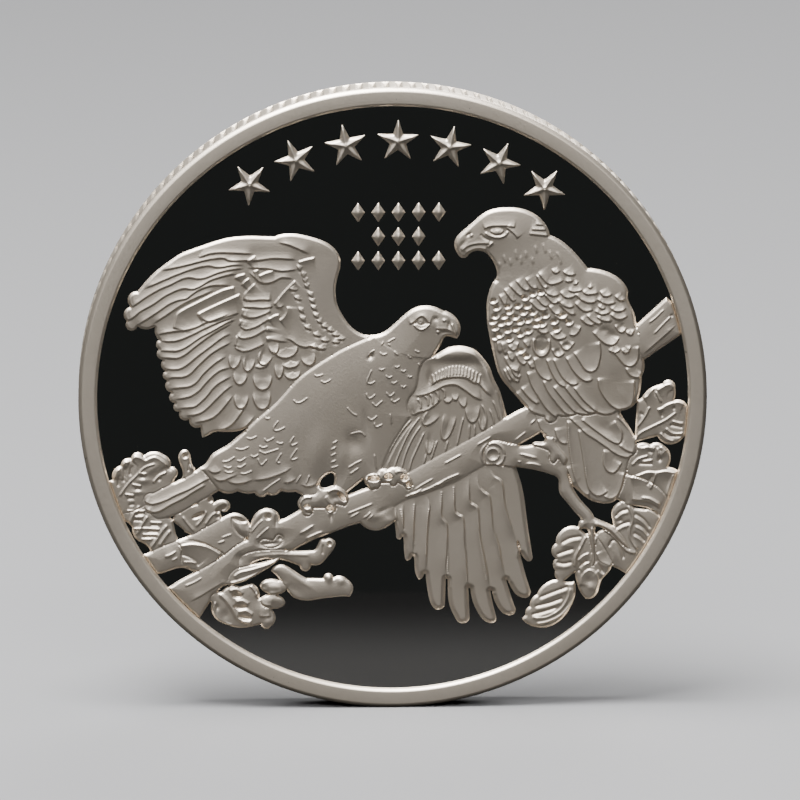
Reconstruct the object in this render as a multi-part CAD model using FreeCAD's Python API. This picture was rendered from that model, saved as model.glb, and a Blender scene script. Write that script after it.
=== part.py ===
"""Struck and plated commemorative coin, standing on its reeded edge.

Frame: +Z up, the coin's axis along Y, the obverse facing -Y. The origin is the lowest point of
the edge, midway through the thickness. All sizes are millimetres.

The coin is one struck piece. Its nodes are the planchet, a polished disc on each face, a reeded
edge band, a raised rim round each face, and the raised details, which stand on the polished discs
and stay lower than the rims. The details' outlines are drawn from the coin's centre, x to the
right and z up, and each one is cut back by those that lie in front of it, so that neighbours meet
side by side and never overlap. All of them are scaled together to the field that they stand on.
"""
import FreeCAD
import Part

import math
import os

# Driving sizes
DIAMETER = 40.0
THICKNESS = 3.2
RIM_WIDTH = 1.2
RIM_HEIGHT = 0.35        # from the polished field up to the rim's face
RIM_BEVEL = 0.22         # outer corner of the rim
RIM_INNER_BEVEL = 0.16   # inner corner of the rim
SKIN = 0.1               # polished disc on each face
REED_COUNT = 150
REED_DEPTH = 0.13
REED_LAND = 0.5          # share of each reed's pitch that stays at full diameter

DRAWN_FIELD_RADIUS = 18.8   # field radius that the outlines and ornament sizes below are drawn for
SMALLEST_REGION = 0.2       # a detail's leftover smaller than this area in mm2 is dropped

# Relief heights above the field
STEM_HEIGHT = 0.14
LEAF_HEIGHT = 0.12
BRANCH_HEIGHT = 0.18
WING_HEIGHT = 0.16
TAIL_HEIGHT = 0.17
BODY_HEIGHT = 0.22
HEAD_HEIGHT = 0.24
FOOT_HEIGHT = 0.25
ORNAMENT_HEIGHT = 0.15

# Obverse ornaments
STAR_COUNT = 7
STAR_PITCH_DEG = 11.45
STAR_ARC_RADIUS = 16.55
STAR_ARC_MIDDLE_DEG = 88.9
STAR_RADIUS = 1.42
LOZENGE_WIDTH = 0.86
LOZENGE_LENGTH = 1.25
LOZENGE_PITCH = 1.28
LOZENGE_MIDDLE = 0.35
LOZENGE_ROWS = ((12.0, 5), (10.45, 3), (8.9, 5))   # height and count of each row

# Reverse ornaments
WREATH_RADIUS = 12.6
WREATH_LEAF_LENGTH = 4.3
WREATH_LEAF_WIDTH = 1.7
WREATH_PAIRS = 9
WREATH_START_DEG = 14.0      # from straight down
WREATH_STEP_DEG = 16.4
WREATH_LEAF_LEAN_DEG = 27.0
STEM_WIDTH = 0.5
BADGE_RADIUS = 7.2
BADGE_WAIST = 0.4            # inner radius of the centre star, as a share of its outer radius
BEAD_COUNT = 72
BEAD_RADIUS = 0.3
BEAD_GAP_TO_RIM = 0.75

# Derived places
RADIUS = DIAMETER / 2
FIELD_RADIUS = RADIUS - RIM_WIDTH
FIELD_Y = THICKNESS / 2 - RIM_HEIGHT      # distance of each field from the middle plane
PLANCHET_Y = FIELD_Y - SKIN
DESIGN_SCALE = FIELD_RADIUS / DRAWN_FIELD_RADIUS
STAR_WAIST = (3 - math.sqrt(5)) / 2       # inner radius of a regular five-pointed star
OBVERSE = -1
REVERSE = 1


def placed(x, z):
    """A drawn point as a vector, scaled to the field."""
    return FreeCAD.Vector(x * DESIGN_SCALE, 0, z * DESIGN_SCALE)


class Outline:
    """A closed outline drawn from the coin's centre, x to the right and z up."""

    def __init__(self, x, z):
        self.first = placed(x, z)
        self.here = self.first
        self.edges = []

    def _add(self, curve, end):
        self.edges.append(curve.toShape())
        self.here = end
        return self

    def line(self, *points):
        for x, z in points:
            end = placed(x, z)
            self._add(Part.LineSegment(self.here, end), end)
        return self

    def curve(self, *points):
        """One smooth curve from here through the points."""
        through = [self.here] + [placed(x, z) for x, z in points]
        spline = Part.BSplineCurve()
        spline.interpolate(through)
        return self._add(spline, through[-1])

    def tips(self, *pairs):
        """Rounded tips, one arc each: (tip, notch after it)."""
        for tip, notch in pairs:
            end = placed(*notch)
            self._add(Part.Arc(self.here, placed(*tip), end), end)
        return self

    def face(self):
        if self.here.distanceToPoint(self.first) > 1e-6:
            self._add(Part.LineSegment(self.here, self.first), self.first)
        return Part.Face(Part.Wire(self.edges))


def polar(radius, degrees):
    angle = math.radians(degrees)
    return radius * math.cos(angle), radius * math.sin(angle)


def ellipse(x, z, half_long, half_short, degrees=0.0):
    """A filled ellipse whose long axis is turned by degrees from x."""
    curve = Part.Ellipse(FreeCAD.Vector(0, 0, 0), half_long * DESIGN_SCALE, half_short * DESIGN_SCALE)
    shape = Part.Face(Part.Wire([curve.toShape()]))
    shape.rotate(FreeCAD.Vector(0, 0, 0), FreeCAD.Vector(1, 0, 0), 90)
    shape.rotate(FreeCAD.Vector(0, 0, 0), FreeCAD.Vector(0, -1, 0), degrees)
    shape.translate(placed(x, z))
    return shape


def disc(x, z, radius):
    """A filled circle."""
    circle = Part.Circle(placed(x, z), FreeCAD.Vector(0, 1, 0), radius * DESIGN_SCALE)
    return Part.Face(Part.Wire([circle.toShape()]))


def star(x, z, radius, waist, points=5, turn=90.0):
    """A pointed star with its first point at the angle turn."""
    step = 180.0 / points
    corners = []
    for k in range(2 * points):
        reach = radius if k % 2 == 0 else radius * waist
        dx, dz = polar(reach, turn + k * step)
        corners.append((x + dx, z + dz))
    return Outline(*corners[0]).line(*corners[1:]).face()


def lozenge(x, z):
    half_w, half_l = LOZENGE_WIDTH / 2, LOZENGE_LENGTH / 2
    return Outline(x, z + half_l).line((x + half_w, z), (x, z - half_l), (x - half_w, z)).face()


# Obverse relief, one function per piece

def right_eagle_head():
    """Head in profile to the left, with the neck down to the shoulder."""
    return [
        Outline(6.35, 7.5)
        .curve((6.6, 8.1), (6.5, 8.5), (6.29, 8.94), (5.98, 9.3), (5.6, 9.5), (5.1, 9.46), (4.8, 9.28))
        .curve((4.62, 9.08), (4.36, 9.06), (4.05, 9.4), (3.88, 9.9), (3.98, 10.3), (4.5, 10.85), (5.2, 11.47),
               (5.9, 12.0), (7.1, 12.27), (8.4, 12.12), (9.25, 11.65), (9.72, 11.1), (9.95, 10.5))
        .curve((10.72, 10.1), (11.5, 9.4), (12.36, 8.36))
        .curve((11.3, 7.7), (9.5, 7.5), (7.8, 7.9), (6.35, 7.5))
        .face()
    ]


def right_eagle_body():
    """Breast and folded wing, with the flight feathers' tips along the bottom."""
    return [
        Outline(12.36, 8.36)
        .curve((13.15, 8.25), (14.0, 7.93), (14.73, 7.3), (14.95, 6.83))
        .curve((15.02, 6.1), (15.3, 5.56), (15.47, 4.8), (15.65, 3.97), (15.68, 3.0))
        .tips(((16.02, 2.2), (15.85, 1.4)))
        .curve((15.8, 0.7), (15.6, -0.1), (15.3, -0.55))
        .tips(((14.9, -0.78), (14.35, -0.85)), ((13.6, -1.14), (12.95, -1.02)), ((12.4, -1.14), (11.75, -1.05)),
              ((11.2, -1.2), (10.5, -1.15)), ((10.15, -1.6), (9.6, -1.2)))
        .curve((8.5, -0.62), (7.98, -0.04), (7.34, 0.7), (6.8, 1.44), (6.5, 2.28), (6.23, 3.55), (6.02, 4.6),
               (5.95, 5.66), (5.97, 6.3), (6.13, 6.98), (6.35, 7.5))
        .curve((8.0, 9.0), (10.5, 9.2), (12.36, 8.36))
        .face()
    ]


def right_eagle_tail():
    """Long tail below the folded wing, with the thigh at its upper left."""
    return [
        Outline(9.0, -1.0)
        .curve((9.3, -1.8), (9.6, -2.5), (10.2, -3.1), (10.77, -3.7), (11.0, -4.3), (11.2, -4.9), (11.46, -5.7))
        .curve((11.9, -6.1), (12.46, -6.55), (13.3, -6.85), (14.15, -6.7), (14.5, -6.2), (14.8, -5.3),
               (15.0, -4.3), (15.15, -3.85))
        .curve((15.55, -3.5), (15.5, -2.8), (15.0, -1.8), (14.5, -1.0))
        .line((15.0, 0.5), (9.0, 0.5))
        .face()
    ]


def right_eagle_foot():
    """Toes gripping the side branch."""
    return [
        Outline(8.85, -2.98)
        .curve((9.15, -2.82), (9.5, -2.84), (9.66, -2.4))
        .line((10.3, -2.5))
        .curve((10.85, -3.45), (11.1, -4.1), (10.85, -4.3), (10.5, -3.95), (10.3, -4.2), (10.0, -4.05),
               (9.95, -3.5), (9.4, -3.2), (8.85, -2.98))
        .face()
    ]


def left_eagle_head():
    """Head in profile to the right, with the nape and throat."""
    return [
        Outline(-1.3, 4.13)
        .curve((-0.4, 4.43), (0.06, 4.82), (0.69, 5.4), (1.25, 5.8), (1.96, 6.0), (2.6, 5.93), (3.2, 5.66))
        .curve((3.75, 5.45), (4.07, 5.14), (4.27, 4.7), (4.25, 4.2), (4.07, 3.87))
        .curve((3.8, 3.94), (3.33, 4.0), (3.17, 3.76), (2.96, 3.34), (2.7, 2.95), (2.43, 2.65))
        .curve((1.3, 2.75), (-0.2, 3.3), (-1.3, 4.13))
        .face()
    ]


def left_eagle_body():
    """Breast, belly and the two feathered thighs."""
    return [
        Outline(-1.3, 4.13)
        .line((2.43, 2.65), (3.6, 1.5), (2.2, -3.0), (-0.6, -5.2), (-1.9, -5.2))
        .line((-3.0, -6.1), (-3.95, -5.75))
        .curve((-3.74, -5.2), (-3.86, -4.78), (-4.2, -4.86), (-4.6, -5.65))
        .line((-4.8, -6.3), (-5.5, -6.2))
        .tips(((-5.9, -6.12), (-6.2, -5.96)), ((-6.7, -6.0), (-7.15, -5.9)), ((-7.6, -6.2), (-8.0, -6.1)),
              ((-8.35, -6.3), (-8.8, -6.02)), ((-9.4, -6.06), (-9.9, -5.9)), ((-10.5, -6.06), (-11.1, -5.86)))
        .line((-12.3, -4.35))
        .curve((-11.8, -3.92), (-11.6, -3.6), (-10.76, -3.05), (-10.1, -2.55), (-9.3, -1.83), (-8.65, -1.2),
               (-8.0, -0.67), (-7.4, -0.12), (-6.75, 0.6), (-6.1, 1.33), (-5.38, 1.9), (-4.5, 2.5), (-3.9, 2.87),
               (-3.16, 3.29), (-2.2, 3.72), (-1.3, 4.13))
        .face()
    ]


def left_eagle_tail():
    """Closed tail feathers to the lower left."""
    return [
        Outline(-12.3, -4.35)
        .curve((-12.9, -4.78), (-13.67, -5.17), (-14.56, -5.58), (-15.3, -5.97))
        .tips(((-15.88, -6.3), (-15.72, -6.72)), ((-15.85, -7.0), (-15.5, -7.3)))
        .curve((-14.9, -7.68), (-14.3, -7.56), (-13.4, -7.2), (-12.8, -6.83), (-12.2, -6.5), (-11.1, -5.86))
        .line((-10.4, -5.2), (-10.6, -3.4))
        .face()
    ]


def left_eagle_raised_wing():
    """Wing lifted behind the body: a smooth leading edge, then the flight feathers' tips."""
    return [
        Outline(-1.3, 4.13)
        .curve((-1.95, 4.2), (-2.7, 4.72), (-3.16, 5.35), (-3.53, 6.1), (-3.64, 6.93), (-3.53, 7.8), (-3.34, 8.5),
               (-3.34, 9.04), (-3.6, 9.57), (-4.2, 10.08), (-5.06, 10.42), (-5.9, 10.62), (-6.96, 10.65),
               (-7.5, 10.48))
        .curve((-8.44, 10.52), (-9.5, 10.52), (-10.55, 10.4), (-11.6, 10.1), (-12.66, 9.73), (-13.5, 9.4),
               (-14.35, 8.83), (-15.1, 8.25), (-15.73, 7.6), (-16.2, 7.02))
        .tips(((-16.82, 6.4), (-16.62, 6.03)), ((-17.08, 5.55), (-16.88, 5.12)), ((-16.85, 4.62), (-16.2, 4.78)),
              ((-15.75, 4.58), (-15.08, 4.8)), ((-15.12, 4.4), (-14.84, 3.9)), ((-15.04, 3.6), (-14.86, 3.3)),
              ((-14.98, 2.9), (-14.55, 2.62)), ((-14.72, 2.2), (-14.4, 1.9)), ((-14.62, 1.55), (-14.3, 1.3)),
              ((-14.42, 0.75), (-14.05, 0.5)), ((-14.2, 0.05), (-13.8, -0.15)), ((-13.96, -0.5), (-13.55, -0.72)),
              ((-13.56, -1.1), (-12.95, -1.18)), ((-12.92, -1.52), (-12.25, -1.72)))
        .line((-12.15, -2.42))
        .curve((-11.85, -2.32), (-11.4, -2.08), (-10.7, -2.05), (-9.9, -2.02), (-9.3, -1.8))
        .line((-7.0, -1.4), (-3.0, 2.0), (-1.3, 4.13))
        .face()
    ]


def left_eagle_lowered_wing():
    """Wing hanging in front of the body: the arm above the branch, nine flight feathers below it."""
    return [
        Outline(2.43, 2.65)
        .curve((3.22, 3.16), (3.96, 3.4), (4.7, 3.34), (5.23, 3.13), (5.76, 2.6), (6.18, 1.97), (6.44, 1.23),
               (6.76, 0.6), (6.97, -0.04), (7.18, -0.88), (7.5, -2.8), (7.87, -4.5), (8.18, -5.5), (8.42, -6.76),
               (8.57, -8.0), (8.76, -9.3), (8.94, -10.35))
        .curve((8.68, -10.6), (8.27, -10.26), (8.1, -9.8), (8.02, -9.3))
        .line((7.92, -9.25))
        .curve((8.36, -11.03), (8.82, -12.55))
        .curve((8.52, -12.97), (8.0, -12.84), (7.62, -12.43), (7.33, -11.8))
        .line((7.22, -11.75))
        .curve((7.48, -12.6), (7.84, -13.65))
        .curve((7.65, -14.05), (7.2, -14.04), (6.75, -13.65), (6.47, -13.1), (6.32, -12.5))
        .line((6.21, -12.45))
        .curve((6.38, -13.3), (6.6, -14.15))
        .curve((6.44, -14.57), (6.0, -14.53), (5.45, -13.95), (5.1, -13.2), (4.93, -12.3))
        .line((4.82, -12.25), (4.9, -14.15))
        .curve((4.72, -14.53), (4.3, -14.57), (3.9, -14.1), (3.6, -13.4), (3.5, -12.6), (3.48, -11.7))
        .line((3.38, -11.65), (3.32, -13.3))
        .curve((3.15, -13.62), (2.8, -13.69), (2.47, -13.4), (2.23, -12.6), (2.12, -11.9), (2.08, -11.35))
        .line((1.98, -11.35))
        .curve((1.86, -11.62), (1.7, -11.72), (1.5, -11.5), (1.37, -10.8), (1.32, -10.2))
        .line((1.22, -10.2))
        .curve((1.08, -10.42), (0.88, -10.48), (0.73, -10.15), (0.68, -9.5), (0.66, -8.95))
        .line((0.58, -8.92))
        .tips(((0.42, -9.1), (0.2, -8.85)))
        .line((-0.02, -7.0), (-0.85, -4.9))
        .curve((-0.5, -4.0), (-0.1, -3.1), (0.6, -1.95), (1.15, -1.1))
        .tips(((0.95, -0.35), (1.3, 0.35)))
        .curve((1.6, 1.2), (1.75, 2.0), (2.43, 2.65))
        .face()
    ]


def left_eagle_left_foot():
    """Toes and claws of the foot nearer the tail."""
    return [
        Outline(-4.75, -5.5)
        .curve((-5.1, -6.1), (-5.75, -6.2), (-6.08, -6.7), (-5.85, -7.1))
        .tips(((-5.3, -7.5), (-5.1, -7.0)))
        .line((-4.35, -7.0))
        .tips(((-3.95, -7.35), (-3.66, -6.75)))
        .line((-3.05, -6.9))
        .curve((-2.82, -6.4), (-3.1, -5.85), (-3.7, -5.55), (-4.3, -5.72), (-4.75, -5.5))
        .face()
    ]


def left_eagle_right_foot():
    """Toes and claws of the foot in the middle of the branch."""
    return [
        Outline(-1.62, -5.62)
        .curve((-1.82, -5.15), (-1.5, -4.8), (-1.05, -4.78))
        .curve((-0.75, -4.5), (-0.35, -4.55))
        .curve((0.2, -4.38), (0.8, -4.65), (1.2, -5.2), (1.2, -5.75))
        .tips(((0.95, -5.85), (0.7, -5.6)))
        .line((0.3, -5.4))
        .tips(((0.05, -5.62), (-0.25, -5.4)))
        .line((-0.75, -5.4))
        .tips(((-1.2, -5.85), (-1.62, -5.62)))
        .face()
    ]


def main_branch():
    """Thick bough rising from the rim at the lower left to the rim at the upper right."""
    return [
        Outline(-14.9, -12.4)
        .line((-14.17, -12.0))
        .curve((-13.2, -11.4), (-12.33, -10.94), (-11.44, -10.44), (-10.67, -9.9), (-10.1, -9.44), (-9.3, -9.05))
        .curve((-9.1, -8.2), (-8.9, -7.55), (-8.5, -7.15), (-7.98, -7.02), (-7.45, -7.22), (-7.22, -7.8))
        .curve((-6.67, -7.56), (-5.6, -6.95), (-3.9, -6.5), (-2.4, -5.98), (-1.1, -5.52), (1.1, -4.68), (2.2, -4.04),
               (4.28, -2.94), (5.3, -2.36), (6.4, -1.73), (7.24, -1.2), (8.3, -0.62))
        .line((15.47, 4.7), (17.37, 6.46), (18.4, 5.6), (18.4, 4.1), (16.0, 2.44), (9.6, -2.1))
        .curve((8.5, -2.75), (7.3, -3.4), (5.9, -4.28), (5.07, -4.75), (4.2, -5.28), (3.17, -5.72), (2.1, -6.12),
               (1.06, -6.44), (0.1, -6.95))
        .line((0.12, -7.9))
        .curve((-0.5, -8.36), (-1.1, -8.52), (-1.7, -8.35), (-2.1, -8.02))
        .curve((-3.0, -8.28), (-4.0, -8.67), (-5.0, -9.05), (-5.9, -9.5), (-6.9, -10.0))
        .line((-9.0, -11.4), (-10.9, -12.1))
        .curve((-11.5, -12.8), (-11.9, -13.4), (-12.4, -14.2))
        .line((-13.6, -14.4))
        .face()
    ]


def side_branch():
    """Shorter bough that leaves the main one and narrows into the twig that bears the leaves."""
    return [
        Outline(5.95, -4.25)
        .curve((5.82, -3.6), (5.97, -3.1), (6.3, -2.78), (6.76, -2.76))
        .curve((7.6, -2.94), (8.45, -3.05), (9.6, -2.9), (10.6, -3.4), (11.1, -4.4))
        .curve((11.2, -5.1), (11.55, -5.95), (12.1, -6.76), (12.6, -7.3), (12.85, -7.75))
        .curve((13.5, -8.05), (14.1, -8.35), (14.75, -9.05), (15.15, -9.85))
        .curve((14.6, -9.5), (14.0, -8.9), (13.4, -8.45), (12.95, -8.35))
        .curve((12.9, -9.2), (12.95, -10.0), (12.85, -10.9))
        .line((12.65, -10.9))
        .curve((12.65, -9.8), (12.5, -9.0), (12.35, -8.5), (11.9, -8.45), (11.85, -8.1), (12.04, -7.87))
        .curve((11.6, -7.4), (11.0, -6.65), (10.6, -6.05), (10.56, -5.3), (10.1, -4.96))
        .curve((9.5, -4.75), (8.45, -4.54), (7.2, -4.34), (5.95, -4.25))
        .face()
    ]


def cut_log():
    """Sawn log behind the main branch, at the lower left."""
    return [
        Outline(-16.4, -10.1)
        .line((-15.7, -9.9))
        .curve((-14.8, -9.44), (-13.8, -9.06), (-12.8, -8.67), (-11.9, -8.17), (-11.0, -7.67), (-10.3, -7.33),
               (-9.67, -7.4), (-9.2, -7.9), (-9.1, -8.44), (-9.4, -9.0))
        .line((-10.0, -9.6), (-12.3, -11.0))
        .curve((-12.7, -11.1), (-13.2, -10.9), (-13.6, -10.85), (-14.3, -11.05), (-14.9, -11.2))
        .line((-15.6, -11.4))
        .face()
    ]


def budded_twig():
    """Thin twig with a pair of buds at its end."""
    return [
        Outline(-9.8, -10.2)
        .curve((-9.0, -9.84), (-7.9, -9.72), (-6.8, -9.72), (-5.67, -9.78), (-5.06, -9.76))
        .curve((-4.8, -9.4), (-4.62, -9.08), (-4.3, -9.04))
        .curve((-3.95, -9.0), (-3.68, -9.25), (-3.74, -9.6), (-4.1, -10.1), (-4.56, -10.62), (-5.25, -10.72))
        .tips(((-5.5, -11.12), (-5.95, -10.8)))
        .curve((-6.5, -10.55), (-7.2, -10.35), (-9.8, -11.2))
        .face(),
        Outline(-8.5, -9.2)
        .curve((-8.1, -9.02), (-7.6, -9.08), (-7.35, -8.75), (-7.08, -8.82), (-7.15, -9.25), (-7.5, -9.5),
               (-8.5, -9.2))
        .face(),
    ]


def broken_twig():
    """Stouter twig with a broken end, below the budded one."""
    return [
        Outline(-7.8, -11.1)
        .curve((-7.45, -10.72), (-7.05, -10.68), (-6.56, -10.9), (-6.0, -11.3), (-5.5, -11.58))
        .line((-4.45, -11.6))
        .tips(((-4.1, -11.26), (-3.8, -11.56)), ((-3.35, -11.44), (-3.0, -11.62)))
        .curve((-2.56, -12.12), (-2.74, -12.78))
        .curve((-3.44, -12.8), (-4.56, -12.92), (-5.9, -13.0), (-6.44, -12.75), (-6.8, -12.3), (-7.2, -11.7),
               (-7.8, -11.1))
        .face()
    ]


def narrow_leaf():
    """Slender folded leaf over the main branch."""
    return [
        Outline(-7.06, -10.06)
        .curve((-8.1, -10.44), (-9.2, -10.68), (-10.1, -11.0), (-10.48, -11.5), (-10.5, -12.0))
        .curve((-9.56, -11.78), (-8.67, -11.33), (-7.8, -10.8), (-7.06, -10.06))
        .face(),
    ]


def folded_leaf():
    """Broad leaf folded over the sawn log."""
    return [
        Outline(-13.85, -9.2)
        .curve((-13.2, -9.02), (-12.4, -9.1), (-11.6, -9.42), (-10.7, -9.95))
        .curve((-11.6, -10.6), (-12.3, -11.0), (-12.95, -10.9), (-13.5, -10.5), (-13.5, -9.9), (-13.85, -9.2))
        .face(),
    ]


def upper_left_leaf():
    """Lobed leaf against the rim, and the bud beside it."""
    return [
        Outline(-18.4, -5.3)
        .line((-17.85, -5.1))
        .tips(((-17.75, -4.45), (-17.33, -4.2)), ((-17.15, -3.82), (-16.68, -3.75)), ((-16.3, -3.34), (-15.85, -3.55)),
              ((-15.2, -3.3), (-14.6, -3.5)), ((-14.2, -3.85), (-14.15, -4.3)), ((-13.72, -4.55), (-13.85, -5.0)))
        .line((-14.5, -6.2), (-16.6, -7.2), (-17.9, -7.4))
        .face(),
        Outline(-13.5, -5.1)
        .curve((-13.52, -4.2), (-13.66, -3.6), (-13.45, -3.25), (-13.12, -3.2), (-12.92, -3.5), (-12.84, -4.0),
               (-12.6, -4.35))
        .line((-12.6, -5.1))
        .face(),
    ]


def lower_left_leaves():
    """Small leaves between the tail, the sawn log and the rim."""
    return [
        Outline(-17.6, -7.0)
        .curve((-17.05, -7.05), (-16.4, -6.75), (-16.0, -6.2))
        .line((-15.0, -6.6), (-14.3, -7.5))
        .curve((-14.0, -7.9), (-13.9, -8.4), (-13.7, -8.9))
        .line((-14.2, -9.5), (-15.4, -9.95))
        .tips(((-15.75, -9.35), (-16.1, -9.15)), ((-16.55, -8.7), (-16.62, -8.2)), ((-16.9, -7.9), (-17.3, -7.75)))
        .face(),
    ]


def left_buds():
    """Curled buds between the tail and the sawn log."""
    return [
        Outline(-13.9, -7.4)
        .line((-12.5, -6.7))
        .tips(((-11.6, -6.12), (-11.45, -6.7)))
        .curve((-11.0, -6.45), (-10.5, -6.55), (-10.38, -6.9), (-10.6, -7.2), (-11.0, -7.15))
        .line((-10.9, -7.9), (-12.5, -8.9), (-13.3, -8.5))
        .curve((-13.7, -8.1), (-14.0, -7.8), (-13.9, -7.4))
        .face(),
    ]


def bottom_left_leaves():
    """Two lobed leaves and a pair of acorns below the main branch."""
    return [
        Outline(-11.6, -13.2)
        .tips(((-11.4, -12.5), (-10.95, -12.42)), ((-10.4, -12.04), (-9.75, -12.1)))
        .line((-9.0, -11.9))
        .tips(((-8.55, -12.4), (-8.55, -12.85)), ((-7.95, -13.05), (-7.75, -13.6)), ((-7.5, -14.2), (-7.8, -14.7)),
              ((-8.2, -14.85), (-8.45, -14.55)))
        .line((-8.62, -14.6))
        .curve((-9.2, -14.74), (-9.9, -14.78), (-10.78, -14.5), (-11.3, -14.2), (-11.6, -13.67), (-11.6, -13.2))
        .face(),
    ]


def acorns():
    """Pair of acorns beside the bottom leaves."""
    return [
        ellipse(-7.65, -12.12, 0.85, 0.5, -8.0),
        ellipse(-7.7, -13.08, 0.8, 0.48, -6.0),
    ]


def lower_right_leaves():
    """Lobed leaves hanging from the twig, down to the lowest one beside the rim."""
    inner = (
        Outline(11.85, -8.38)
        .curve((11.2, -8.34), (10.72, -8.62), (10.42, -9.1), (10.4, -9.42))
        .tips(((10.12, -9.95), (10.4, -10.4)), ((10.22, -10.8), (10.38, -11.2)), ((10.45, -11.72), (11.05, -11.78)))
        .line((11.56, -11.35), (12.6, -10.0), (12.4, -8.9))
        .face()
    )
    lowest = (
        Outline(11.6, -11.9)
        .curve((11.1, -11.92), (10.56, -11.8), (10.0, -11.9))
        .tips(((9.55, -12.2), (9.2, -12.75)), ((8.85, -13.05), (8.75, -13.5)), ((8.5, -13.75), (8.48, -14.05)))
        .line((8.24, -14.32))
        .curve((8.66, -14.7), (9.3, -14.9), (10.1, -14.8), (10.9, -14.26), (11.4, -13.5), (11.67, -12.67),
               (11.6, -11.9))
        .face()
    )
    middle = (
        Outline(12.3, -8.8)
        .curve((11.9, -9.75), (11.58, -10.8), (11.68, -11.7), (11.9, -12.46), (12.32, -13.04))
        .curve((12.75, -13.0), (13.1, -12.6), (13.3, -11.9), (13.8, -11.3), (14.05, -10.67))
        .line((13.4, -9.5), (12.9, -8.8))
        .face()
    )
    return [inner, lowest, middle]


def rim_side_leaves():
    """Lobed leaves between the twig's fork and the rim."""
    lower = (
        Outline(12.9, -9.1)
        .curve((13.3, -8.55), (13.9, -8.6), (14.9, -9.3), (15.7, -10.2))
        .line((16.0, -10.6), (15.2, -11.6))
        .curve((14.8, -11.36), (14.15, -11.0), (13.4, -10.67), (13.0, -10.1), (12.9, -9.1))
        .face()
    )
    upper = (
        Outline(14.0, -7.85)
        .tips(((14.3, -6.85), (14.95, -6.7)))
        .curve((15.5, -7.15), (16.2, -7.25), (16.9, -7.6))
        .line((17.6, -8.0), (16.5, -10.4), (15.5, -10.15), (14.1, -8.5))
        .face()
    )
    return [lower, upper]


def right_stub():
    """Short stub of bough that runs from behind the tail to the rim."""
    return [
        Outline(14.4, -5.0)
        .curve((15.3, -5.1), (16.4, -5.5), (17.45, -6.5))
        .line((18.0, -7.2), (17.2, -8.0))
        .curve((16.6, -7.3), (15.6, -7.05), (14.7, -6.75))
        .line((14.0, -6.5))
        .face(),
    ]


def upper_right_leaves():
    """Lobed leaves beside the tail, up to the level of the folded wing's tip."""
    lowest = (
        Outline(14.6, -5.1)
        .tips(((15.2, -4.85), (15.75, -4.78)), ((16.3, -4.55), (16.9, -4.66)), ((17.5, -4.5), (18.1, -4.7)))
        .line((19.0, -5.0), (18.0, -7.4), (16.0, -6.6), (14.6, -6.0))
        .face()
    )
    low = (
        Outline(15.2, -3.3)
        .tips(((15.8, -2.92), (16.4, -3.05)), ((16.8, -2.92), (17.2, -3.05)), ((17.7, -3.8), (17.5, -4.55)))
        .line((16.0, -4.9), (14.7, -4.9))
        .face()
    )
    high = (
        Outline(15.4, -2.9)
        .line((15.55, -0.2), (15.85, 0.0))
        .tips(((16.2, 0.45), (16.5, 0.66)), ((16.85, 0.78), (17.15, 0.88)), ((17.62, 1.12), (17.98, 0.6)),
              ((18.0, 0.2), (17.9, -0.2)))
        .tips(((18.4, -0.2), (18.75, -0.55)))
        .line((19.0, -2.3), (18.5, -2.6))
        .tips(((17.6, -3.05), (16.85, -2.5)))
        .line((15.6, -2.85))
        .face()
    )
    return [lowest, low, high]


def stars():
    first = STAR_ARC_MIDDLE_DEG - STAR_PITCH_DEG * (STAR_COUNT - 1) / 2
    places = [first + k * STAR_PITCH_DEG for k in range(STAR_COUNT)]
    return [star(*polar(STAR_ARC_RADIUS, at), STAR_RADIUS, STAR_WAIST, turn=at) for at in places]


def lozenges():
    faces = []
    for z, count in LOZENGE_ROWS:
        first = LOZENGE_MIDDLE - LOZENGE_PITCH * (count - 1) / 2
        faces += [lozenge(first + k * LOZENGE_PITCH, z) for k in range(count)]
    return faces


# Front to back. A piece is cut back by every piece above it in this list.
OBVERSE_PIECES = (
    ("left_eagle_left_foot", left_eagle_left_foot, FOOT_HEIGHT),
    ("left_eagle_right_foot", left_eagle_right_foot, FOOT_HEIGHT),
    ("right_eagle_foot", right_eagle_foot, FOOT_HEIGHT),
    ("right_eagle_head", right_eagle_head, HEAD_HEIGHT),
    ("right_eagle_body", right_eagle_body, BODY_HEIGHT),
    ("right_eagle_tail", right_eagle_tail, TAIL_HEIGHT),
    ("narrow_leaf", narrow_leaf, LEAF_HEIGHT),
    ("side_branch", side_branch, BRANCH_HEIGHT),
    ("acorns", acorns, ORNAMENT_HEIGHT),
    ("bottom_left_leaves", bottom_left_leaves, LEAF_HEIGHT),
    ("budded_twig", budded_twig, STEM_HEIGHT),
    ("broken_twig", broken_twig, STEM_HEIGHT),
    ("main_branch", main_branch, BRANCH_HEIGHT),
    ("folded_leaf", folded_leaf, LEAF_HEIGHT),
    ("cut_log", cut_log, STEM_HEIGHT),
    ("left_eagle_lowered_wing", left_eagle_lowered_wing, WING_HEIGHT),
    ("left_eagle_head", left_eagle_head, HEAD_HEIGHT),
    ("left_eagle_body", left_eagle_body, BODY_HEIGHT),
    ("left_eagle_tail", left_eagle_tail, TAIL_HEIGHT),
    ("left_eagle_raised_wing", left_eagle_raised_wing, WING_HEIGHT),
    ("left_buds", left_buds, STEM_HEIGHT),
    ("upper_left_leaf", upper_left_leaf, LEAF_HEIGHT),
    ("lower_left_leaves", lower_left_leaves, LEAF_HEIGHT),
    ("right_stub", right_stub, STEM_HEIGHT),
    ("lower_right_leaves", lower_right_leaves, LEAF_HEIGHT),
    ("rim_side_leaves", rim_side_leaves, LEAF_HEIGHT),
    ("upper_right_leaves", upper_right_leaves, LEAF_HEIGHT),
    ("star_arc", stars, ORNAMENT_HEIGHT),
    ("lozenge_rows", lozenges, ORNAMENT_HEIGHT),
)


# Reverse relief: a plain laurel wreath round a faceted star, inside a ring of beads

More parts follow.
